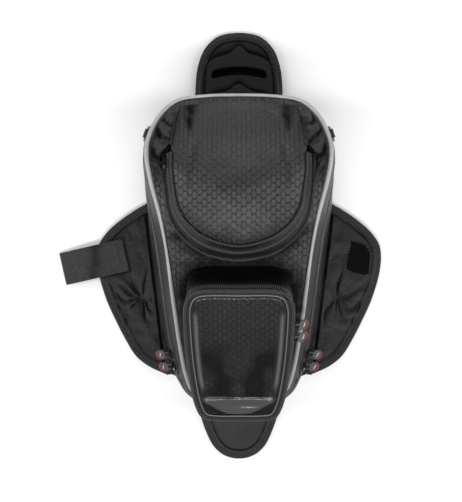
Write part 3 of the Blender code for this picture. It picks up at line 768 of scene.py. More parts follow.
def wall_points(height, out, rows=BODY, crease=0.0):
    """Points of the side wall at height(row), moved outward, with creases in the cloth."""
    flat = []
    belly = []
    for row in rows:
        share = height(row) / top_height(row[3])
        flat.append([a + (b - a) * share for a, b in ((row[0], row[2]), (row[1], row[3]))])
        belly.append(out + BULGE * math.sin(math.pi * min(share, 1)))
    if crease:
        belly = [
            b + wobble((x, y, height(row)), 34, crease) + wobble((x, y, height(row)), 12, crease / 3)
            for b, (x, y), row in zip(belly, flat, rows)
        ]
    moved = push_out(flat, belly, rows is BODY)
    return [(x, y, height(row)) for (x, y), row in zip(moved, rows)]


def tub_top(row):
    """Height where the tub's wall ends, under the zip's lower tape where there is one."""
    return zip_height(row) - (TAPE + GAP if has_zip(row) else GAP / 2)


def lid_bottom(row):
    """Height where the lid's wall starts, above the zip's upper tape where there is one."""
    return zip_height(row) + (TAPE + GAP if has_zip(row) else GAP / 2)


def lid_top(row):
    """Height where the lid's wall ends, under the edge piping."""
    return top_height(row[3]) - PIPING_R - GAP


def between(low, high, share):
    """Height at a share of the way from one height to another, at each outline row."""
    return lambda row: low(row) + (high(row) - low(row)) * share


def level(z):
    """Height that is the same at every outline row."""
    return lambda row: z


def wall_shell(low, high, thick, levels=9):
    """Loops of a padded wall: up its outer face and down its inner one."""
    outside = []
    for k in range(levels + 1):
        share = k / levels
        puff = 1.1 * math.sin(math.pi * share) ** 0.6
        hem = -0.9 if k in (0, levels) else 0
        crease = 2.2 * math.sin(math.pi * share)
        outside.append(wall_points(between(low, high, share), puff + hem, crease=crease))
    inside = [wall_points(between(low, high, s), -thick) for s in (1, 0.5, 0)]
    return outside + inside


def make_body(mats):
    """Tub and both halves of the main zip."""
    base = level(BASE_Z + 3)
    loops = [wall_points(level(BASE_Z), -4), wall_points(level(BASE_Z + 0.8), -1)]
    loops += wall_shell(base, tub_top, WALL)[:-1]
    loops.append(wall_points(level(BASE_Z + FLOOR), -WALL - 1))
    make("tub_shell", loft(loops), mats.nylon, "bag", ["body_tub"])
    main_zip_half("lower", -1, "bag", mats)
    main_zip_half("upper", 1, "lid", mats)


def main_zip_half(half, sign, body, mats):
    """One tape of the main zip, below or above its middle by sign, with its teeth and seam."""
    rows = [row for row in BODY if has_zip(row)]

    def at(distance):
        return lambda row: zip_height(row) + sign * distance

    lines = [
        wall_points(at(TAPE), -0.4, rows), wall_points(at(TAPE - 0.6), 0.2, rows),
        wall_points(at(TAPE - 1.6), -0.5, rows), wall_points(at(3.0), -0.6, rows),
        wall_points(at(1.2), -0.4, rows), wall_points(at(1.2), -TAPE_THICK, rows),
        wall_points(at(TAPE), -TAPE_THICK, rows),
    ]
    make(f"main_zip_tape_{half}", strip(lines), mats.tape, body, [f"main_zip_{half}"])
    edge = wall_points(at(0.2), 0.1, rows)
    outer = wall_points(at(2.0), 0.1, rows)
    teeth(f"main_zip_teeth_{half}", mats.coil, body, edge, outer)
    seam = wall_points(at(TAPE - 1.3), 0.0, rows)
    stitches(f"main_zip_seam_{half}", seam, mats.thread, body, outward, length=1.7, gap=2.7)


def piping_radius(p):
    """The piping turns under the panel's edge beside the waist, so less of it stands proud."""
    waist = math.exp(-((p.y + 2) / 34) ** 2)
    front = step(148, 160, p.y)
    return 2.4 - 0.9 * waist - 0.6 * front


def run_lengths(profile, start, end, count=120):
    """(y, length along a height profile from its start) pairs."""
    found = [(start, 0.0)]
    for k in range(1, count + 1):
        y = start + (end - start) * k / count
        rise = value_at(profile, y) - value_at(profile, found[-1][0])
        found.append((y, found[-1][1] + math.hypot(y - found[-1][0], rise)))
    return found


PANEL_RUN = run_lengths(TOP_EDGE, -180, 168)
DOME_RUN = run_lengths(DOME_CROWN, 0, 160)


def make_lid(mats):
    """Lid's side wall, reflective piping and top panel."""
    loops = wall_shell(lid_bottom, lid_top, WALL - 0.5)
    make("lid_side", loft(loops, closed=True), mats.nylon, "lid", ["lid_wall"])
    edge = [(row[2], row[3], top_height(row[3])) for row in BODY]
    piping = make("reflective_piping", tube(edge, piping_radius, True, 14), mats.reflective,
                  "lid", ["edge_piping"])
    piping.data.shade_smooth()
    inner = push_out([(row[2], row[3]) for row in BODY], -PIPING_R - 0.4, closed=True)
    mesh = panel_mesh(inner)
    pockets = [Vector(p[:2]) for p in phone_loop(0, flat_at(PHONE_FOOT)) if p[1] > -75]
    pockets += [Vector(p[:2]) for p in dome_points(0, 0) if p[1] < 20]

    def shadow(x, y, z):
        near = distance_to(pockets, x, y)
        patchy = 1 + wobble((x, y, 0), 9, 0.9, 6.0)
        return 0.97 * math.exp(-(near / (11.5 * patchy)) ** 2)

    store_painted_light(mesh, shadow)
    make("lid_top_panel", mesh, mats.hex_fabric, "lid", ["lid_panel"])
    seam = push_out([(row[2], row[3]) for row in BODY], -PIPING_R - 2.6, closed=True)
    path = [(x, y, top_height(y) + PANEL / 2 + 0.2) for x, y in seam]
    stitches("panel_stitches", path, mats.thread, "lid")


def panel_mesh(outline, across=36):
    """Top panel: level across, slightly filled out, following the lid's edge along the bag."""
    bm = bmesh.new()
    cloth = cloth_layer(bm)
    count = len(outline)
    half = count // 2
    sheets = []
    for side in (1, -1):
        grid = []
        for k in range(half + 1):
            a, b = outline[k], outline[-k % count]
            line = []
            for j in range(across + 1):
                s = 2 * j / across - 1
                x = (a[0] + b[0]) / 2 + (b[0] - a[0]) / 2 * s
                y = (a[1] + b[1]) / 2
                spare = (1 - s * s) ** 0.5 if abs(b[0] - a[0]) > 1 else 0
                z = top_height(y) + side * PANEL / 2
                if side > 0:
                    z += spare * (0.5 + wobble((x, y, 0), 30, 1.3)) + 0.3
                vert = bm.verts.new((x, y, z))
                vert[cloth] = Vector((x, value_at(PANEL_RUN, y), 0)) * MM
                line.append(vert)
            grid.append(line)
        sheets.append(grid)
    close_sheets(bm, *sheets)
    bmesh.ops.remove_doubles(bm, verts=bm.verts, dist=0.001)
    bmesh.ops.dissolve_degenerate(bm, edges=bm.edges, dist=0.0005)
    return bm


def make_tail_hinge(mats):
    """Fabric behind the zip's ends, sewn to the tub and to the lid."""
    rows = [row for row in BODY if row[3] < ZIP_END_Y]
    split = next(k for k in range(1, len(rows)) if abs(rows[k][0] - rows[k - 1][0]) > 60)
    rows = rows[split:] + rows[:split]
    lines = []
    for offset, out in ((-6, 1.3), (-3, 2.0), (0, 2.2), (3, 2.0), (6, 1.3), (6, 0.6), (-6, 0.6)):
        lines.append(wall_points(lambda row, o=offset: zip_height(row) + o, out, rows))
    piece = make("tail_hinge_fabric", strip(lines), mats.nylon, None)
    y, z = LID_HINGE[1:]
    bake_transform(piece)


# ---------------------------------------------------------------- domed pocket

DOME = whole_arch(DOME_ROWS, (0, 3), steps=FINE)


def dome_points(share, out, crease=0.0):
    """Points of the dome's wall at a share of its height from foot to rim."""
    flat = []
    heights = []
    for rim_x, rim_y, rim_z, foot_x, foot_y in DOME:
        foot_z = max(top_height(foot_y), top_height(foot_y + DOME_WALL)) + PANEL / 2 + 2 * GAP
        flat.append((foot_x + (rim_x - foot_x) * share, foot_y + (rim_y - foot_y) * share))
        heights.append(foot_z + (rim_z - foot_z) * share)
    outs = [out + wobble((x, y, z), 16, crease) for (x, y), z in zip(flat, heights)]
    moved = push_out(flat, outs, closed=False)
    return [(x, y, z) for (x, y), z in zip(moved, heights)]


def dome_band(name, mat, low, high, out, thick, body, replaced, puff=0.0, levels=5):
    """Strip of the dome's wall between two shares of its height."""
    lines = []
    for k in range(levels + 1):
        share = k / levels
        lift = puff * math.sin(math.pi * share)
        lines.append(dome_points(low + (high - low) * share, out + lift, crease=puff))
    lines += [dome_points(high, out - thick), dome_points(low, out - thick)]
    make(name, strip(lines), mat, body, [replaced])


def dome_teeth(name, coil, body, sign):
    """Teeth of the dome's zip, below or above its middle by sign."""
    edge = dome_points(0.5 + sign * 0.006, 0.2)
    outer = dome_points(0.5 + sign * 0.06, 0.2)
    teeth(name, coil, body, edge, outer)


def dome_tuck(x, y):
    """Wedge-shaped pleat gathered at each of the dome's two front corners, 0 to 1."""
    ends = step(113, 128, y) * step(160, 154, y)
    width = 2.0 + 6.0 * step(116, 148, y)
    return ends * math.exp(-((abs(x) - 50.0) / width) ** 2)


def crown(x, y, edge_x, edge_z, middle):
    """Height of the dome between its edges, with its tucks and creases."""
    s = x / edge_x if edge_x > 1 else 0
    spare = max(0.0, 1 - s * s)
    z = edge_z + max(middle - edge_z, 0) * spare
    z += spare ** 0.5 * (wobble((x, y, 0), 26, 1.4, 3.1) + wobble((x, y, 0), 9, 0.5, 7.7))
    fold = math.exp(-((abs(x) - 46 - (100 - y) * 0.08) / 2.4) ** 2) * step(62, 76, y)
    fold *= step(112, 98, y)
    return z - 5.0 * dome_tuck(x, y) - 2.2 * fold


def dome_shadow(x, y, z):
    """Dark in the pleats and along the front edge, where the fabric meets the piping."""
    pleat = dome_tuck(x, y) * (0.95 + wobble((x, y, 0), 7, 0.8))
    front, half = DOME_FRONT_ROWS[-1][1], DOME_FRONT_ROWS[-1][0]
    edge = front + 4.5 * (1 - (x / half) ** 2) - y
    return max(0, 0.95 * pleat, 0.8 * math.exp(-(edge / 1.6) ** 2))


def dome_skin(across=64):
    """Whole dome, rear rim to front piping, as one sheet of hexagon fabric."""
    inside = push_out([(row[0], row[1]) for row in DOME], -DOME_PIPING_R - 0.2, closed=False)
    middle = len(inside) // 2
    rows = [(0.8, inside[middle][1] + 0.2, DOME[middle][2] + 0.6)]
    rows += [(x, y, row[2] + 0.6) for (x, y), row in list(zip(inside, DOME))[middle - 1::-1]]
    rows += [tuple(row) for row in spline(DOME_FRONT_ROWS, FINE + 2, closed=False)]
    last = rows[-1][1]
    bm = bmesh.new()
    cloth = cloth_layer(bm)
    sheets = []
    for drop in (0, DOME_SKIN):
        grid = []
        for x, y, z in rows:
            line = []
            for k in range(across + 1):
                s = 2 * k / across - 1
                bow = 4.5 * max(0, (y - 130) / (last - 130)) * (1 - s * s)
                peak = value_at(DOME_CROWN, y + bow)
                top = crown(x * s, y + bow, x, z, peak)
                vert = bm.verts.new((x * s, y + bow, top - drop))
                vert[cloth] = Vector((x * s, value_at(DOME_RUN, y + bow), 0)) * MM
                line.append(vert)
            grid.append(line)
        sheets.append(grid)
    close_sheets(bm, *sheets)
    return bm


def make_dome(mats):
    """Domed pocket: fabric, walls, zip, piping and stitches."""
    mesh = dome_skin()
    store_painted_light(mesh, dome_shadow)
    skin = make("dome_fabric", mesh, mats.hex_fabric, None, ["dome_cover", "dome_front"],
                angle=70)
    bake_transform(skin)
    dome_band("dome_lower_wall", mats.nylon, 0.0, 0.355, 0, DOME_WALL, "lid", "dome_wall", 0.8)
    dome_band("dome_upper_wall", mats.nylon, 0.645, 0.93, 0, DOME_WALL, "dome_flap", "dome_skirt",
              0.8)
    dome_band("dome_tape_lower", mats.tape, 0.365, 0.47, -0.5, TAPE_THICK, "lid", "dome_zip_lower")
    dome_band("dome_tape_upper", mats.tape, 0.53, 0.635, -0.5, TAPE_THICK, "dome_flap",
              "dome_zip_upper")
    dome_teeth("dome_teeth_lower", mats.coil, "lid", -1)
    dome_teeth("dome_teeth_upper", mats.coil, "dome_flap", 1)
    for side, word in ((1, "right"), (-1, "left")):
        seam = [(side * (x + 0.9), y, z + 0.6)
                for x, y, z in spline(DOME_FRONT_ROWS, FINE, closed=False) if y > 107]
        make(f"dome_seam_{word}", tube(seam, 0.9, False, 8), mats.piping, "lid")
    rim = dome_points(1.0, 0.2)
    make("dome_rim_cord", tube(rim, DOME_PIPING_R - 0.6, False, 12), mats.piping, "dome_flap",
         ["dome_rim_piping"])
    foot = dome_points(0.03, 1.5)
    make("dome_foot_cord", tube(foot, 1.5, False, 10), mats.piping, "lid")
    inner = push_out([(p[0], p[1]) for p in dome_points(1.0, 0)], -4.0, closed=False)
    path = [(x, y, row[2] + 1.4) for (x, y), row in zip(inner, DOME) if y < 90]
    stitches("dome_stitches", path, mats.thread, "dome_flap", length=2.2)


def gusset_ridge(x, y):
    """Slanting folds of the gusset, -1 in the valleys to 1 on the crests."""
    drift = noise.noise(Vector((x, y, 5)) / 14)
    return math.sin((y * 0.8 - abs(x) * 0.6) / 2.7 + 2.6 * drift)


def make_gusset(name, side, mats):
    """Crinkled nylon between the dome and the edge piping."""
    rows = spline(GUSSET_ROWS, FINE + 4, closed=False)
    across = 20
    lines = []
    for k in range(across + 1):
        s = k / across
        line = []
        for inner_x, y, rise, outer_x in rows:
            x = inner_x + (outer_x - inner_x) * s
            low = top_height(y) + PANEL / 2 + GAP
            z = low + GUSSET + rise * (1 - s) ** 1.3
            free = math.sin(math.pi * s) ** 0.7 * step(72, 84, y)
            z += free * (2.0 * gusset_ridge(side * x, y) + 1.8 + wobble((x, y, side), 8, 1.5, 2.0))
            line.append((side * x, y, z))
        lines.append(line)
    below = [
        [(side * (a + (b - a) * s), y, top_height(y) + PANEL / 2 + GAP + r * (1 - s))
         for a, y, r, b in rows] for s in (1, 0)
    ]
    mesh = strip(lines + below)
    outer = [(row[1], row[3]) for row in rows]

    def shadow(x, y, z):
        fold = 0.95 * step(-0.3, -0.95, gusset_ridge(x, y)) * step(76, 88, y)
        return max(fold, 0.8 * math.exp(-((value_at(outer, y) - abs(x)) / 1.4) ** 2))

    store_painted_light(mesh, shadow)
    make(name + "_cloth", mesh, mats.nylon, "lid", [name], angle=80)


# ---------------------------------------------------------------- phone pocket

def phone_part(loops):
    """The stretch of some loops that has the zip, as cross-sections."""
    sections = [list(points) for points in zip(*loops)]
    kept = [k for k, (_, u) in enumerate(PHONE) if u < PHONE_ZIP_END]
    return [sections[k] for k in kept]


def along_zip(height, rest):
    """Height that changes past the end of the phone pocket's zip."""
    return lambda u: height if u < PHONE_ZIP_END else rest


def make_phone_wall(mats):
    """Fixed wall of the phone pocket, slightly puffed out, with painted shade at its front corners.
    """
    top = along_zip(PHONE_ZIP_N - PHONE_TAPE - GAP, PHONE_ZIP_N - GAP / 2)
    loops = []
    for k in range(8):
        share = k / 7
        puff = math.sin(math.pi * share)
        loops.append(phone_loop(0.6 - 0.9 * puff,
                                lambda u, s=share: PHONE_FOOT + (top(u) - PHONE_FOOT) * s,
                                crease=1.4 * puff))
    loops += [phone_loop(PHONE_WALL, top), phone_loop(PHONE_WALL, flat_at(PHONE_FOOT))]
    mesh = loft(loops, closed=True)

    def shadow(x, y, z):
        place = Vector((x, y, z)) - PHONE_O
        return 0.95 * step(60, 20, place.dot(DOWN)) * step(38, 26, place.dot(OUT))

    store_painted_light(mesh, shadow)
    make("phone_side", mesh, mats.nylon, "lid", ["phone_wall"])


def phone_zip_half(half, sign, body, low, high, mats):
    """One tape of the phone pocket's zip, from height low to high, with its teeth."""
    corners = ((0.5, low), (0.5, high), (2.0, high), (2.0, low))
    tape = phone_part([phone_loop(inset, flat_at(n)) for inset, n in corners])
    make(f"phone_tape_{half}", loft(tape), mats.tape, body, [f"phone_zip_{half}"])
    rows = phone_part([phone_loop(0.2, flat_at(PHONE_ZIP_N + sign * n)) for n in (0.15, 2.0)])
    edge, outer = [list(points) for points in zip(*rows)]
    teeth(f"phone_teeth_{half}", mats.coil, body, edge, outer)


def make_phone_rim(mats):
    """Rim band and piping of the phone pocket's cover."""
    low = along_zip(PHONE_RIM_LOW, PHONE_ZIP_N + GAP / 2)
    rim = [
        phone_loop(0, low), phone_loop(-0.4, lambda u: (low(u) + PHONE_RIM_TOP) / 2),
        phone_loop(0, flat_at(PHONE_RIM_TOP)), phone_loop(PHONE_WALL, flat_at(PHONE_RIM_TOP)),
        phone_loop(PHONE_WALL, low),
    ]
    make("phone_rim_band", loft(rim, closed=True), mats.nylon, "phone_cover", ["phone_rim"])
    cord = phone_loop(0, flat_at(PHONE_PIPING_N))
    make("phone_edge_cord", tube(cord, PHONE_PIPING_R, True, 12), mats.piping, "phone_cover",
         ["phone_piping"])


def make_phone_window(mats):
    """Bound frame, clear pane, the bead at its edge and the lining behind it."""
    outer = PHONE_PIPING_R + 0.1
    inner = outer + FRAME_WIDTH
    profile = (
        (outer, FRAME_LOW), (outer, FRAME_TOP - 0.7), (outer + 0.6, FRAME_TOP),
        (inner - 0.6, FRAME_TOP), (inner, FRAME_TOP - 0.6), (inner, FRAME_LOW),
    )
    frame = loft([phone_loop(inset, flat_at(n)) for inset, n in profile], closed=True)
    make("window_binding", frame, mats.binding, "phone_cover", ["phone_frame"])
    make("window_pane", window_mesh(inner - 0.5), mats.vinyl, "phone_cover", ["phone_window"],
         angle=80)
    bead = phone_loop(inner + 0.3, flat_at(FRAME_TOP + 0.2))
    make("window_bead", tube(bead, 0.7, True, 8), mats.silver, "phone_cover")
    make("window_lining", lining_mesh(PHONE_WALL + 0.4), mats.lining, "phone_cover",
         angle=80)


def make_phone_pocket(mats):
    """Phone pocket: fixed wall, both halves of the zip, and the cover with its window."""
    make_phone_wall(mats)
    phone_zip_half("lower", -1, "lid", PHONE_ZIP_N - PHONE_TAPE, PHONE_ZIP_N - 1.2, mats)
    phone_zip_half("upper", 1, "phone_cover", PHONE_ZIP_N + 1.2, PHONE_RIM_LOW - GAP, mats)
    make_phone_rim(mats)
    make_phone_window(mats)


def phone_sheet(inset, rings, height):
    """Rings over the phone pocket's outline from its edge inwards, at height(x, u, share)."""
    flat = push_out([(x, -u) for x, u in PHONE], -inset, closed=True)
    middle = PHONE_ROWS[-1][1] / 2
    loops = []
    for k in range(rings + 1):
        share = 1 - k / rings * 0.98
        line = []
        for x, v in flat:
            px, u = x * share, middle + (-v - middle) * share
            line.append(on_slope(px, u, height(px, u, share)))
        loops.append(line)
    return loops


def fold_plate(x, u):
    """Raised plate of the window's lower end: straight above, rounded below."""
    low = FOLD_END - 12 * (x / 32) ** 2
    return step(FOLD_U - 1.5, FOLD_U + 1.0, u) * step(low + 1.5, low - 1.5, u)


def window_mesh(inset):
    """Clear moulded pane: rolled up round its edge, flat inside, with a fold at its lower end."""

    def height(x, u, share):
        away = (1 - share) * 48
        roll = WINDOW_ROLL * (step(0, 3.0, away) - 0.55 * step(6.0, 10.0, away))
        soft = wobble((x, u, 0), 24, 1.0)
        return FRAME_LOW + 0.9 + roll + 1.5 * fold_plate(x, u) + soft * step(3, 12, away)

    top = phone_sheet(inset, 60, height)
    low = phone_sheet(inset, 60, lambda x, u, share: height(x, u, share) - 0.5)
    bm = loft(top[::-1] + low)

    # Painted highlight: lighter, less clear strips down both sides of the pane and on the raised
    # plate at its lower end, where the vinyl's curves catch the light.
    def painted_highlight(x, y, z):
        u = (Vector((x, y, z)) - PHONE_O).dot(DOWN)
        half = value_at([(row[1], row[0]) for row in PHONE_ROWS[4:8]], u) - inset - 6.5
        strip_share = math.exp(-((abs(x) - half) / 2.2) ** 2) * step(30, 42, u) * step(134, 120, u)
        return max(0.8 * strip_share, 0.5 * fold_plate(x, u))

    store_painted_light(bm, painted_highlight)
    return bm


def lining_mesh(inset):
    """Fabric behind the pane, following the cover, crumpled in its lower half."""

    def height(x, u, share):
        crumple = step(40, 90, u) * (wobble((x, u, 0), 16, 2.2, 9.0) + wobble((x, u, 0), 6, 0.6))
        return PHONE_RIM_TOP - 1.6 + min(crumple, 1.2) * step(0, 8, (1 - share) * 48)

    bm = bmesh.new()
    cloth = cloth_layer(bm)
    top = phone_sheet(inset, 40, height)
    low = phone_sheet(inset, 40, lambda x, u, share: height(x, u, share) - 0.8)
    loft(top[::-1] + low, bm=bm)
    for vert in bm.verts:
        run = (PHONE_O - vert.co).dot(-DOWN)
        vert[cloth] = Vector((vert.co.x, run, 0)) * MM

    def shadow(x, y, z):
        u = (Vector((x, y, z)) - PHONE_O).dot(DOWN)
        drift = wobble((x, u, 0), 22, 9.0, 3.0) + wobble((x, u, 0), 8, 3.0)
        away = abs(x) - 31 + 13 * step(80, 125, u) + drift
        hollow = math.exp(-(away / 12) ** 2) * step(66, 94, u + drift)
        return 0.95 * hollow + 0.25 * step(20, 70, u)

    store_painted_light(bm, shadow)
    return bm


# ---------------------------------------------------------------- magnet flaps

def inset_path(path, inset):
    """Open path moved towards the flap's inside."""
    return push_out(path, -inset, closed=False)


def pad_mesh(path, centre, relief, rings):
    """Padded flap: rings from its centre out, its upper face shaped by relief(x, y, share)."""
    edge = [Vector(p) for p in inset_path(path, 1.4)]
    edge += [edge[-1].lerp(edge[0], k / 32) for k in range(1, 32)]
    cx, cy = centre
    top, bottom = [], []
    for k in range(rings + 1):
        share = 0.02 + 0.98 * k / rings
        line = [(cx + (x - cx) * share, cy + (y - cy) * share) for x, y in edge]
        top.append([(x, y, PAD[1] + relief(x, y, share)) for x, y in line])
        if k % 4 == 0:
            bottom.append([(x, y, PAD[0]) for x, y in line])
    return loft(top + bottom[::-1])


def binding_mesh(path):
    """Webbing folded over a flap's edge."""
    profile = [
        (0.0, 1.2), (-0.2, FLAP_TOP / 2), (0.0, FLAP_TOP - 1.2), (0.5, FLAP_TOP - 0.4),
        (1.4, FLAP_TOP), (BINDING_WIDTH / 2, FLAP_TOP + 0.1), (BINDING_WIDTH - 0.5, FLAP_TOP - 0.1),
        (BINDING_WIDTH, FLAP_TOP - 0.5), (BINDING_WIDTH, FLAP_TOP - BINDING_THICK - 0.2),
        (1.1, FLAP_TOP - BINDING_THICK), (1.1, BINDING_THICK - 0.1),
        (BINDING_WIDTH, BINDING_THICK - 0.1), (BINDING_WIDTH, 0), (1.0, 0),
    ]
    return strip([[(*p, z) for p in inset_path(path, inset)] for inset, z in profile])


def strap_place(x, y):
    """How far a point lies along the hook strap from its sewn end, and across it."""
    turn = math.radians(STRAP_TURN)
    away = Vector((x, y)) - STRAP_START.xy
    along = away.dot(Vector((-math.cos(turn), -math.sin(turn))))
    across = away.dot(Vector((math.sin(turn), -math.cos(turn))))
    return along, across


class WingRelief:
    """Star-shaped pucker round the tack, filled out towards the binding."""

    def __init__(self, side):
        self.side = side
        self.tack = Vector((side * WING_MAGNET[0], WING_MAGNET[1]))

    def fold(self, x, y):
        away = Vector((x, y)) - self.tack
        turn = math.atan2(away.y, away.x)
        drift = noise.noise(Vector((away.length / 30, 1.5 * math.cos(turn), math.sin(turn))))
        wave = math.sin(4 * turn + 1.3 * self.side + 3.4 * drift)
        return away.length, wave

    def __call__(self, x, y, share):
        reach, wave = self.fold(x, y)
        sharp = 1 - 2 * abs(wave) ** 0.7
        flat = step(1.0, 0.82, share)
        puff = 2.8 * step(2, 34, reach) * flat - 0.9 * math.exp(-(reach / 7) ** 2)
        ripple = -1.3 * sharp * math.exp(-((reach - 14) / 20) ** 2) * flat * step(1, 8, reach)
        return puff + ripple + flat * wobble((x, y, 0), 14, 1.1, self.side)

    def crease(self, x, y):
        # Painted shade in the pucker's folds, and on the left wing round the strap's sewn end and
        # edges.
        reach, wave = self.fold(x, y)
        line = max(0, 1 - abs(wave) / (0.1 + 1.2 / (reach + 2)))
        pucker = 0.75 * line * math.exp(-((reach - 10) / 22) ** 2)
        if self.side > 0:
            return pucker
        along, across = strap_place(x, y)
        beside = math.hypot(max(0, -along), max(0, abs(across) - STRAP_WIDTH / 2))
        return max(pucker, 0.9 * math.exp(-(beside / 2.2) ** 2))


def chevron(x, points):
    """Where a symmetric line lies at x."""
    return value_at(points, abs(x))


class FrontRelief:
    """Moulded foam: two raised chevrons with a deep arched slot between them."""

    def slot(self, x, y):
        slot_y = SLOT_Y - SLOT_SAG * (x / SLOT_HALF) ** 2
        reach = math.hypot(y - slot_y, max(0, abs(x) - SLOT_HALF + 3.5))
        return slot_y, step(SLOT_WIDTH / 2 + 2.0, SLOT_WIDTH / 2 - 1.4, reach)

    def __call__(self, x, y, share):
        edge = chevron(x, FRONT_CHEVRON)
        raised = 2.6 * step(edge + 1.0, edge - 3.5, y)
        crease = -1.6 * math.exp(-((y - edge - 1.0) / 1.6) ** 2)
        slot_y, slot = self.slot(x, y)
        low_edge = chevron(x, LOW_CHEVRON)
        behind = step(low_edge + 0.8, low_edge - 3.0, y)
        low_crease = -1.5 * math.exp(-((y - low_edge - 0.8) / 1.3) ** 2) * step(36, 26, abs(x))
        dip = -1.5 * step(slot_y, slot_y - 12, y) * (1 - behind)
        height = 1.4 + (raised + crease + dip) * (1 - slot) + low_crease
        root = 0.4 + 0.6 * step(172, 190, y)
        return (height - 2.4 * slot) * step(1.0, 0.9, share) * root + slot * 0.2

    def crease(self, x, y):
        # Painted shade in the arched slot and along the lower edges of both chevrons.
        across = step(SLOT_HALF + 8, SLOT_HALF, abs(x))
        edge = y - chevron(x, FRONT_CHEVRON) - 1.0
        low = y - chevron(x, LOW_CHEVRON) - 0.8
        lines = max(0.9 * math.exp(-(edge / 1.7) ** 2), 0.5 * math.exp(-((edge - 2) / 4) ** 2),
                    0.9 * math.exp(-(low / 1.5) ** 2), 0.4 * math.exp(-((low - 2) / 3.5) ** 2))
        return max(self.slot(x, y)[1] * 1.4, lines * across)


class RearRelief:
    """Smooth panel, slightly filled out."""

    def __call__(self, x, y, share):
        filled = 1.6 * step(1.0, 0.75, share) + wobble((x, y, 0), 25, 0.5)
        return filled * step(-184, -200, y)

    def crease(self, x, y):
        return 0.0


def make_flap(name, path, centre, relief, pad_mat, mats, rings=36):
    """Pad, bound edge and stitches of one flap."""
    mesh = pad_mesh(path, centre, relief, rings)
    edge = [Vector(p) for p in inset_path(path, BINDING_WIDTH + 0.6)]

    def painted_light_at(x, y, z):
        # Painted shade along the seam inside the binding, plus the relief's own painted shade.
        seam = distance_to(edge, x, y)
        return max(math.exp(-seam ** 2 / 2), relief.crease(x, y))

    store_painted_light(mesh, painted_light_at)
    pad = make(name + "_panel", mesh, pad_mat, name, [name + "_pad"], angle=75)
    make(name + "_edge", binding_mesh(path), mats.binding, name, [name + "_binding"])
    seam = [(*p, FLAP_TOP + 0.02) for p in inset_path(path, BINDING_WIDTH - 1.3)]
    stitches(name + "_stitches", seam, mats.thread, name)


def wing_path(side):
    """Outline of the right wing, or of its mirror image."""
    path = [tuple(p) for p in spline(WING_FLAP, FINE, closed=False)]
    if side > 0:
        return path
    return [(-x, y) for x, y in reversed(path)]


def make_flaps(mats):
    """All four magnet flaps."""
    front = [tuple(p) for p in reversed(whole_arch(FRONT_FLAP, (0,), steps=FINE * 2))]
    make_flap("front_flap", front, (0, 207), FrontRelief(), mats.foam, mats, rings=90)
    rear = [tuple(p) for p in whole_arch(REAR_FLAP, (0,), steps=FINE)]
    make_flap("rear_flap", rear, (0, -208), RearRelief(), mats.foam, mats)
    for name, side in (("right_wing", 1), ("left_wing", -1)):
        centre = (side * WING_MAGNET[0], WING_MAGNET[1])
        make_flap(name, wing_path(side), centre, WingRelief(side), mats.nylon, mats, rings=44)


def make_flap_roots(mats):
    """Fabric folds between the base and each flap."""
    hinge = FLAP_HINGE_Z
    spots = {
        "front_flap": (Vector((-49, 167.2, hinge)), Vector((49, 167.2, hinge)), Vector((0, 1, 0))),
        "rear_flap": (Vector((46, -180, hinge)), Vector((-46, -180, hinge)), Vector((0, -1, 0))),
    }
    for side, name in ((1, "right_wing"), (-1, "left_wing")):
        a = Vector((side * WING_AXIS[0].x, WING_AXIS[0].y, hinge))
        b = Vector((side * WING_AXIS[1].x, WING_AXIS[1].y, hinge))
        out = (b - a).normalized().cross(UP)
        out = out if out.x * side > 0 else -out
        spots[name] = (a, b, out)
    for name, (a, b, out) in spots.items():
        lines = []
        for away, rise in (
            (-5, 0.5), (-1.5, 0.9), (1.4, 0.9), (1.4, -0.4), (-1.5, -0.4), (-5, -0.8),
        ):
            shift = out * away + UP * rise
            lines.append([a.lerp(b, k / 24) + shift for k in range(25)])
        piece = make(name + "_fold", strip(lines), mats.nylon, None)
        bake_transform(piece)


# ---------------------------------------------------------------- strap and patch

def make_strap(mats):
    """One webbing strap: sewn to the wing up to the fold, loose beyond it."""
    turn = math.radians(STRAP_TURN)
    along = Vector((-math.cos(turn), -math.sin(turn), 0))
    across = Vector((-along.y, along.x, 0))
    whole = STRAP_SEWN + STRAP_FOLD + STRAP_FREE
    lines = []
    for s, z in ((-1, 0.5), (-0.97, 0), (0, 0), (0.97, 0), (1, 0.5), (1, 1.5), (0.97, 2.0),
                 (0.5, 2.05), (0, 2.05), (-0.5, 2.05), (-0.97, 2.0), (-1, 1.5)):
        line = []
        for k in range(49):
            run = whole * k / 48
            loose = max(0, (run - STRAP_SEWN - STRAP_FOLD / 2) / STRAP_FREE)
            sag = -STRAP_DROP * loose ** 1.2
            ease = math.exp(-((run - STRAP_SEWN * 0.9) / 9) ** 2)
            wave = (0.2 * math.sin(run / 6 + s) + 0.9 * ease * s * s) if z > 0.6 else 0
            line.append(STRAP_START + along * run + across * s * STRAP_WIDTH / 2
                        + Vector((0, 0, z + sag + wave)))
        lines.append(line)
    mesh = strip(lines)

    def shadow(x, y, z):
        run, side = strap_place(x, y)
        fold = math.exp(-((run - STRAP_SEWN - 0.25 * side) / 6) ** 2)
        return 0.6 * fold * (0.9 + wobble((x, y, 0), 9, 0.8)) + 0.85 * math.exp(-(run / 1.2) ** 2)

    store_painted_light(mesh, shadow)
    strap = make("strap_webbing", mesh, mats.strap, None, ["strap_sewn", "strap_end"])
    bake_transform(strap)
    box = [(3, -16), (3, 16), (12, 16), (12, -16), (3, -16)]
    path = []
    for (a, b), (c, d) in zip(box, box[1:]):
        for k in range(8):
            t = k / 8
            path.append(STRAP_START + along * (a + (c - a) * t) + across * (b + (d - b) * t)
                        + Vector((0, 0, 2.25)))
    stitches("strap_stitches", path, mats.thread, "left_wing", length=2.2, gap=3.2)


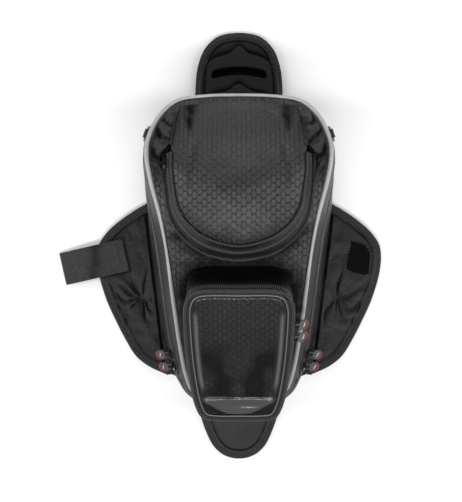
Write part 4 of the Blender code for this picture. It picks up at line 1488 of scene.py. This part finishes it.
def make_patch(mats):
    """Fuzzy loop patch with a sewn edge."""
    outline = []
    for a, b in zip(PATCH, PATCH[1:] + PATCH[:1]):
        outline += [(a[0] + (b[0] - a[0]) * k / 9, a[1] + (b[1] - a[1]) * k / 9) for k in range(9)]
    cx = sum(p[0] for p in outline) / len(outline)
    cy = sum(p[1] for p in outline) / len(outline)
    top = []
    for k in range(31):
        share = 0.02 + 0.98 * k / 30
        line = []
        for x, y in outline:
            px, py = cx + (x - cx) * share, cy + (y - cy) * share
            rise = PATCH_THICK * (1 - share ** 14 * 0.6)
            rise += wobble((px, py, 0), 1.3, 0.5) + wobble((px, py, 0), 5, 0.35)
            line.append((px, py, FLAP_TOP + GAP + rise))
        top.append(line)
    low = [(x, y, FLAP_TOP + GAP) for x, y in outline]
    make("loop_pile", loft([*top, low]), mats.pile, "right_wing", ["loop_patch"])
    seam = [(cx + (x - cx) * 0.93, cy + (y - cy) * 0.93, FLAP_TOP + 2.7) for x, y in outline]
    stitches("patch_stitches", seam, mats.thread, "right_wing", length=2.0)


# ---------------------------------------------------------------- sliders, pulls and rings

def pull_frame(node):
    """Bar, zip direction, direction away from the bar and face normal of a pull, in millimetres."""
    joint = JOINTS[node + "_hinge"]
    bar = Vector(joint["pos_m"]) / MM
    along = Vector(joint["axis"]).normalized()
    low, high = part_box(node)
    away = (low + high) / 2 / MM - bar
    away = (away - along * away.dot(along)).normalized()
    return bar, along, away, along.cross(away)


def make_pulls(mats):
    """Red edge band and a plain pale bar on each grey pull."""
    arc = [(5.5, 11), (4.9, 13), (3.9, 14.6), (2.6, 15.8), (1.3, 16.4), (0, 16.5)]
    arc = arc + [(-x, d) for x, d in reversed(arc[:-1])]
    for node in sorted(n for n in NODES if "pull" in n):
        bar, along, away, face = pull_frame(node)
        lines = []
        for shift, rise in ((-0.4, -0.95), (0.35, -0.95), (0.35, 0.95), (-0.4, 0.95)):
            line = []
            for x, d in arc:
                out = Vector((x, d - 9)).normalized() * shift
                line.append(bar + along * (x + out.x) + away * (d + out.y) + face * rise)
            lines.append(line)
        make(node + "_band", strip(lines), mats.red, node)
        bm = bmesh.new()
        for side in (-1, 1):
            centre = bar + away * 10.6 + face * side * 0.95
            slanted = (along + away * 0.35).normalized()
            crosswise = slanted.cross(face)
            add_block(bm, centre, slanted, crosswise, face * side, (5.0, 1.1, 0.4))
        make(node + "_mark", bm, mats.pale, node, smooth=False)


def dress_node(name, mat, bevel):
    """Better material, and softened edges, for a CAD node that stays."""
    node = NODES[name]
    node.data.materials.clear()
    node.data.materials.append(mat)
    if bevel:
        soft = node.modifiers.new("soft_edges", "BEVEL")
        soft.width = bevel * MM
        soft.segments = 2
        soft.limit_method = "ANGLE"
        soft.harden_normals = False


def dress_nodes(mats):
    """Dress the CAD nodes that stay, each by the first word found in its name."""
    looks = (
        ("slider", mats.metal, 0.4), ("pull", mats.rubber, 0.4), ("side_ring", mats.grey, 0),
        ("ring_tab", mats.binding, 0.3), ("magnet", mats.magnet, 0), ("backing", mats.grip, 0),
        ("grip_sheet", mats.grip, 0), ("base_board", mats.board, 0),
    )
    for name in NODES:
        for word, mat, bevel in looks:
            if word in name:
                dress_node(name, mat, bevel)
                break


# ---------------------------------------------------------------- camera, light and floor

def make_stage():
    """Pale floor just under the bag."""
    bm = bmesh.new()
    for x, y in ((-8, -8), (8, -8), (8, 8), (-8, 8)):
        bm.verts.new((x, y, 0))
    bm.faces.new(bm.verts)
    mesh = bpy.data.meshes.new("floor")
    bm.to_mesh(mesh)
    bm.free()
    pale = Shader("floor", (0.92, 0.92, 0.92), 0.9).material
    mesh.materials.append(pale)
    floor = bpy.data.objects.new("floor", mesh)
    floor.location = (0, 0, -0.0008)
    bpy.context.scene.collection.objects.link(floor)


def make_lamp(name, place, target, size, power):
    """Rectangular area lamp aimed at a point."""
    data = bpy.data.lights.new(name, "AREA")
    data.shape = "RECTANGLE"
    data.size, data.size_y = size
    data.energy = power
    lamp = bpy.data.objects.new(name, data)
    lamp.location = place
    lamp.rotation_euler = (Vector(target) - Vector(place)).to_track_quat("-Z", "Y").to_euler()
    bpy.context.scene.collection.objects.link(lamp)


def make_light():
    """Dim white surroundings and four soft boxes."""
    world = bpy.data.worlds.new("studio")
    world.use_nodes = True
    background = world.node_tree.nodes["Background"]
    background.inputs["Color"].default_value = (1, 1, 1, 1)
    background.inputs["Strength"].default_value = 0.1
    bpy.context.scene.world = world
    middle = (0, 0, 0.08)
    make_lamp("front_box", (0, 1.6, 1.3), middle, (2.0, 0.5), 15)
    make_lamp("left_box", (-1.6, 0.0, 1.1), middle, (0.4, 1.8), 20)
    make_lamp("right_box", (1.6, 0.0, 1.1), middle, (0.4, 1.8), 20)
    make_lamp("rear_box", (0, -1.0, 1.9), middle, (2.0, 0.4), 34)


def make_camera():
    """Camera straight above the bag."""
    data = bpy.data.cameras.new("camera")
    data.sensor_width = 36
    data.lens = CAMERA_LENS
    data.shift_x = CAMERA_SHIFT[0]
    data.shift_y = CAMERA_SHIFT[1]
    camera = bpy.data.objects.new("camera", data)
    camera.location = (0, 0, CAMERA_HEIGHT)
    bpy.context.scene.collection.objects.link(camera)
    bpy.context.scene.camera = camera


def make_materials():
    """All materials, named by what they are or where they go."""
    return SimpleNamespace(
        nylon=nylon_material(),
        hex_fabric=hex_material("hex_fabric", (0.0145, 0.0145, 0.015)),
        # painted light: the same hex fabric at about three times its colour, lighter to stand in for
        # light on the lining seen through the window
        lining=hex_material("lining", (0.05, 0.05, 0.051)),
        tape=tape_material(),
        coil=plain_material("zip_coil", (0.1, 0.1, 0.103), 0.3),
        thread=plain_material("thread", (0.06, 0.06, 0.062), 0.6, grain=900),
        piping=webbing_material("dark_piping", (0.022, 0.022, 0.023), (1, 1, 0.6), 0.002),
        binding=webbing_material("binding", (0.014, 0.014, 0.015)),
        strap=webbing_material("strap", (0.025, 0.025, 0.026), (1, 0.8, 0), 0.0022),
        foam=foam_material(),
        pile=plain_material("loop_pile", (0.003, 0.003, 0.0032), 0.98, 1500, 0.0006,
                            Specular_IOR_Level=0.08),
        grip=plain_material("grip_rubber", (0.015, 0.015, 0.015), 0.85, 300, 0.0006),
        board=plain_material("board", (0.05, 0.05, 0.05), 0.5),
        magnet=plain_material("magnet", (0.4, 0.4, 0.41), 0.35, Metallic=1.0),
        grey=plain_material("grey_plastic", (0.2, 0.2, 0.205), 0.4),
        rubber=plain_material("pull_rubber", (0.07, 0.07, 0.072), 0.4, 800),
        red=plain_material("pull_edge", (0.35, 0.02, 0.016), 0.4, 800),
        pale=plain_material("pale_mark", (0.55, 0.55, 0.55), 0.4, 800),
        silver=plain_material("window_bead", (0.13, 0.13, 0.133), 0.22),
        reflective=reflective_material(),
        metal=metal_material(),
        vinyl=vinyl_material(),
    )


def make_bag():
    """Every piece of the bag, from the tub up and out to the flaps."""
    mats = make_materials()
    make_body(mats)
    make_lid(mats)
    make_tail_hinge(mats)
    make_dome(mats)
    make_gusset("gusset_right", 1, mats)
    make_gusset("gusset_left", -1, mats)
    make_phone_pocket(mats)
    make_flaps(mats)
    make_flap_roots(mats)
    make_strap(mats)
    make_patch(mats)
    make_pulls(mats)
    dress_nodes(mats)


make_camera()
make_light()
make_stage()
bpy.context.scene.view_settings.view_transform = "Standard"
make_bag()
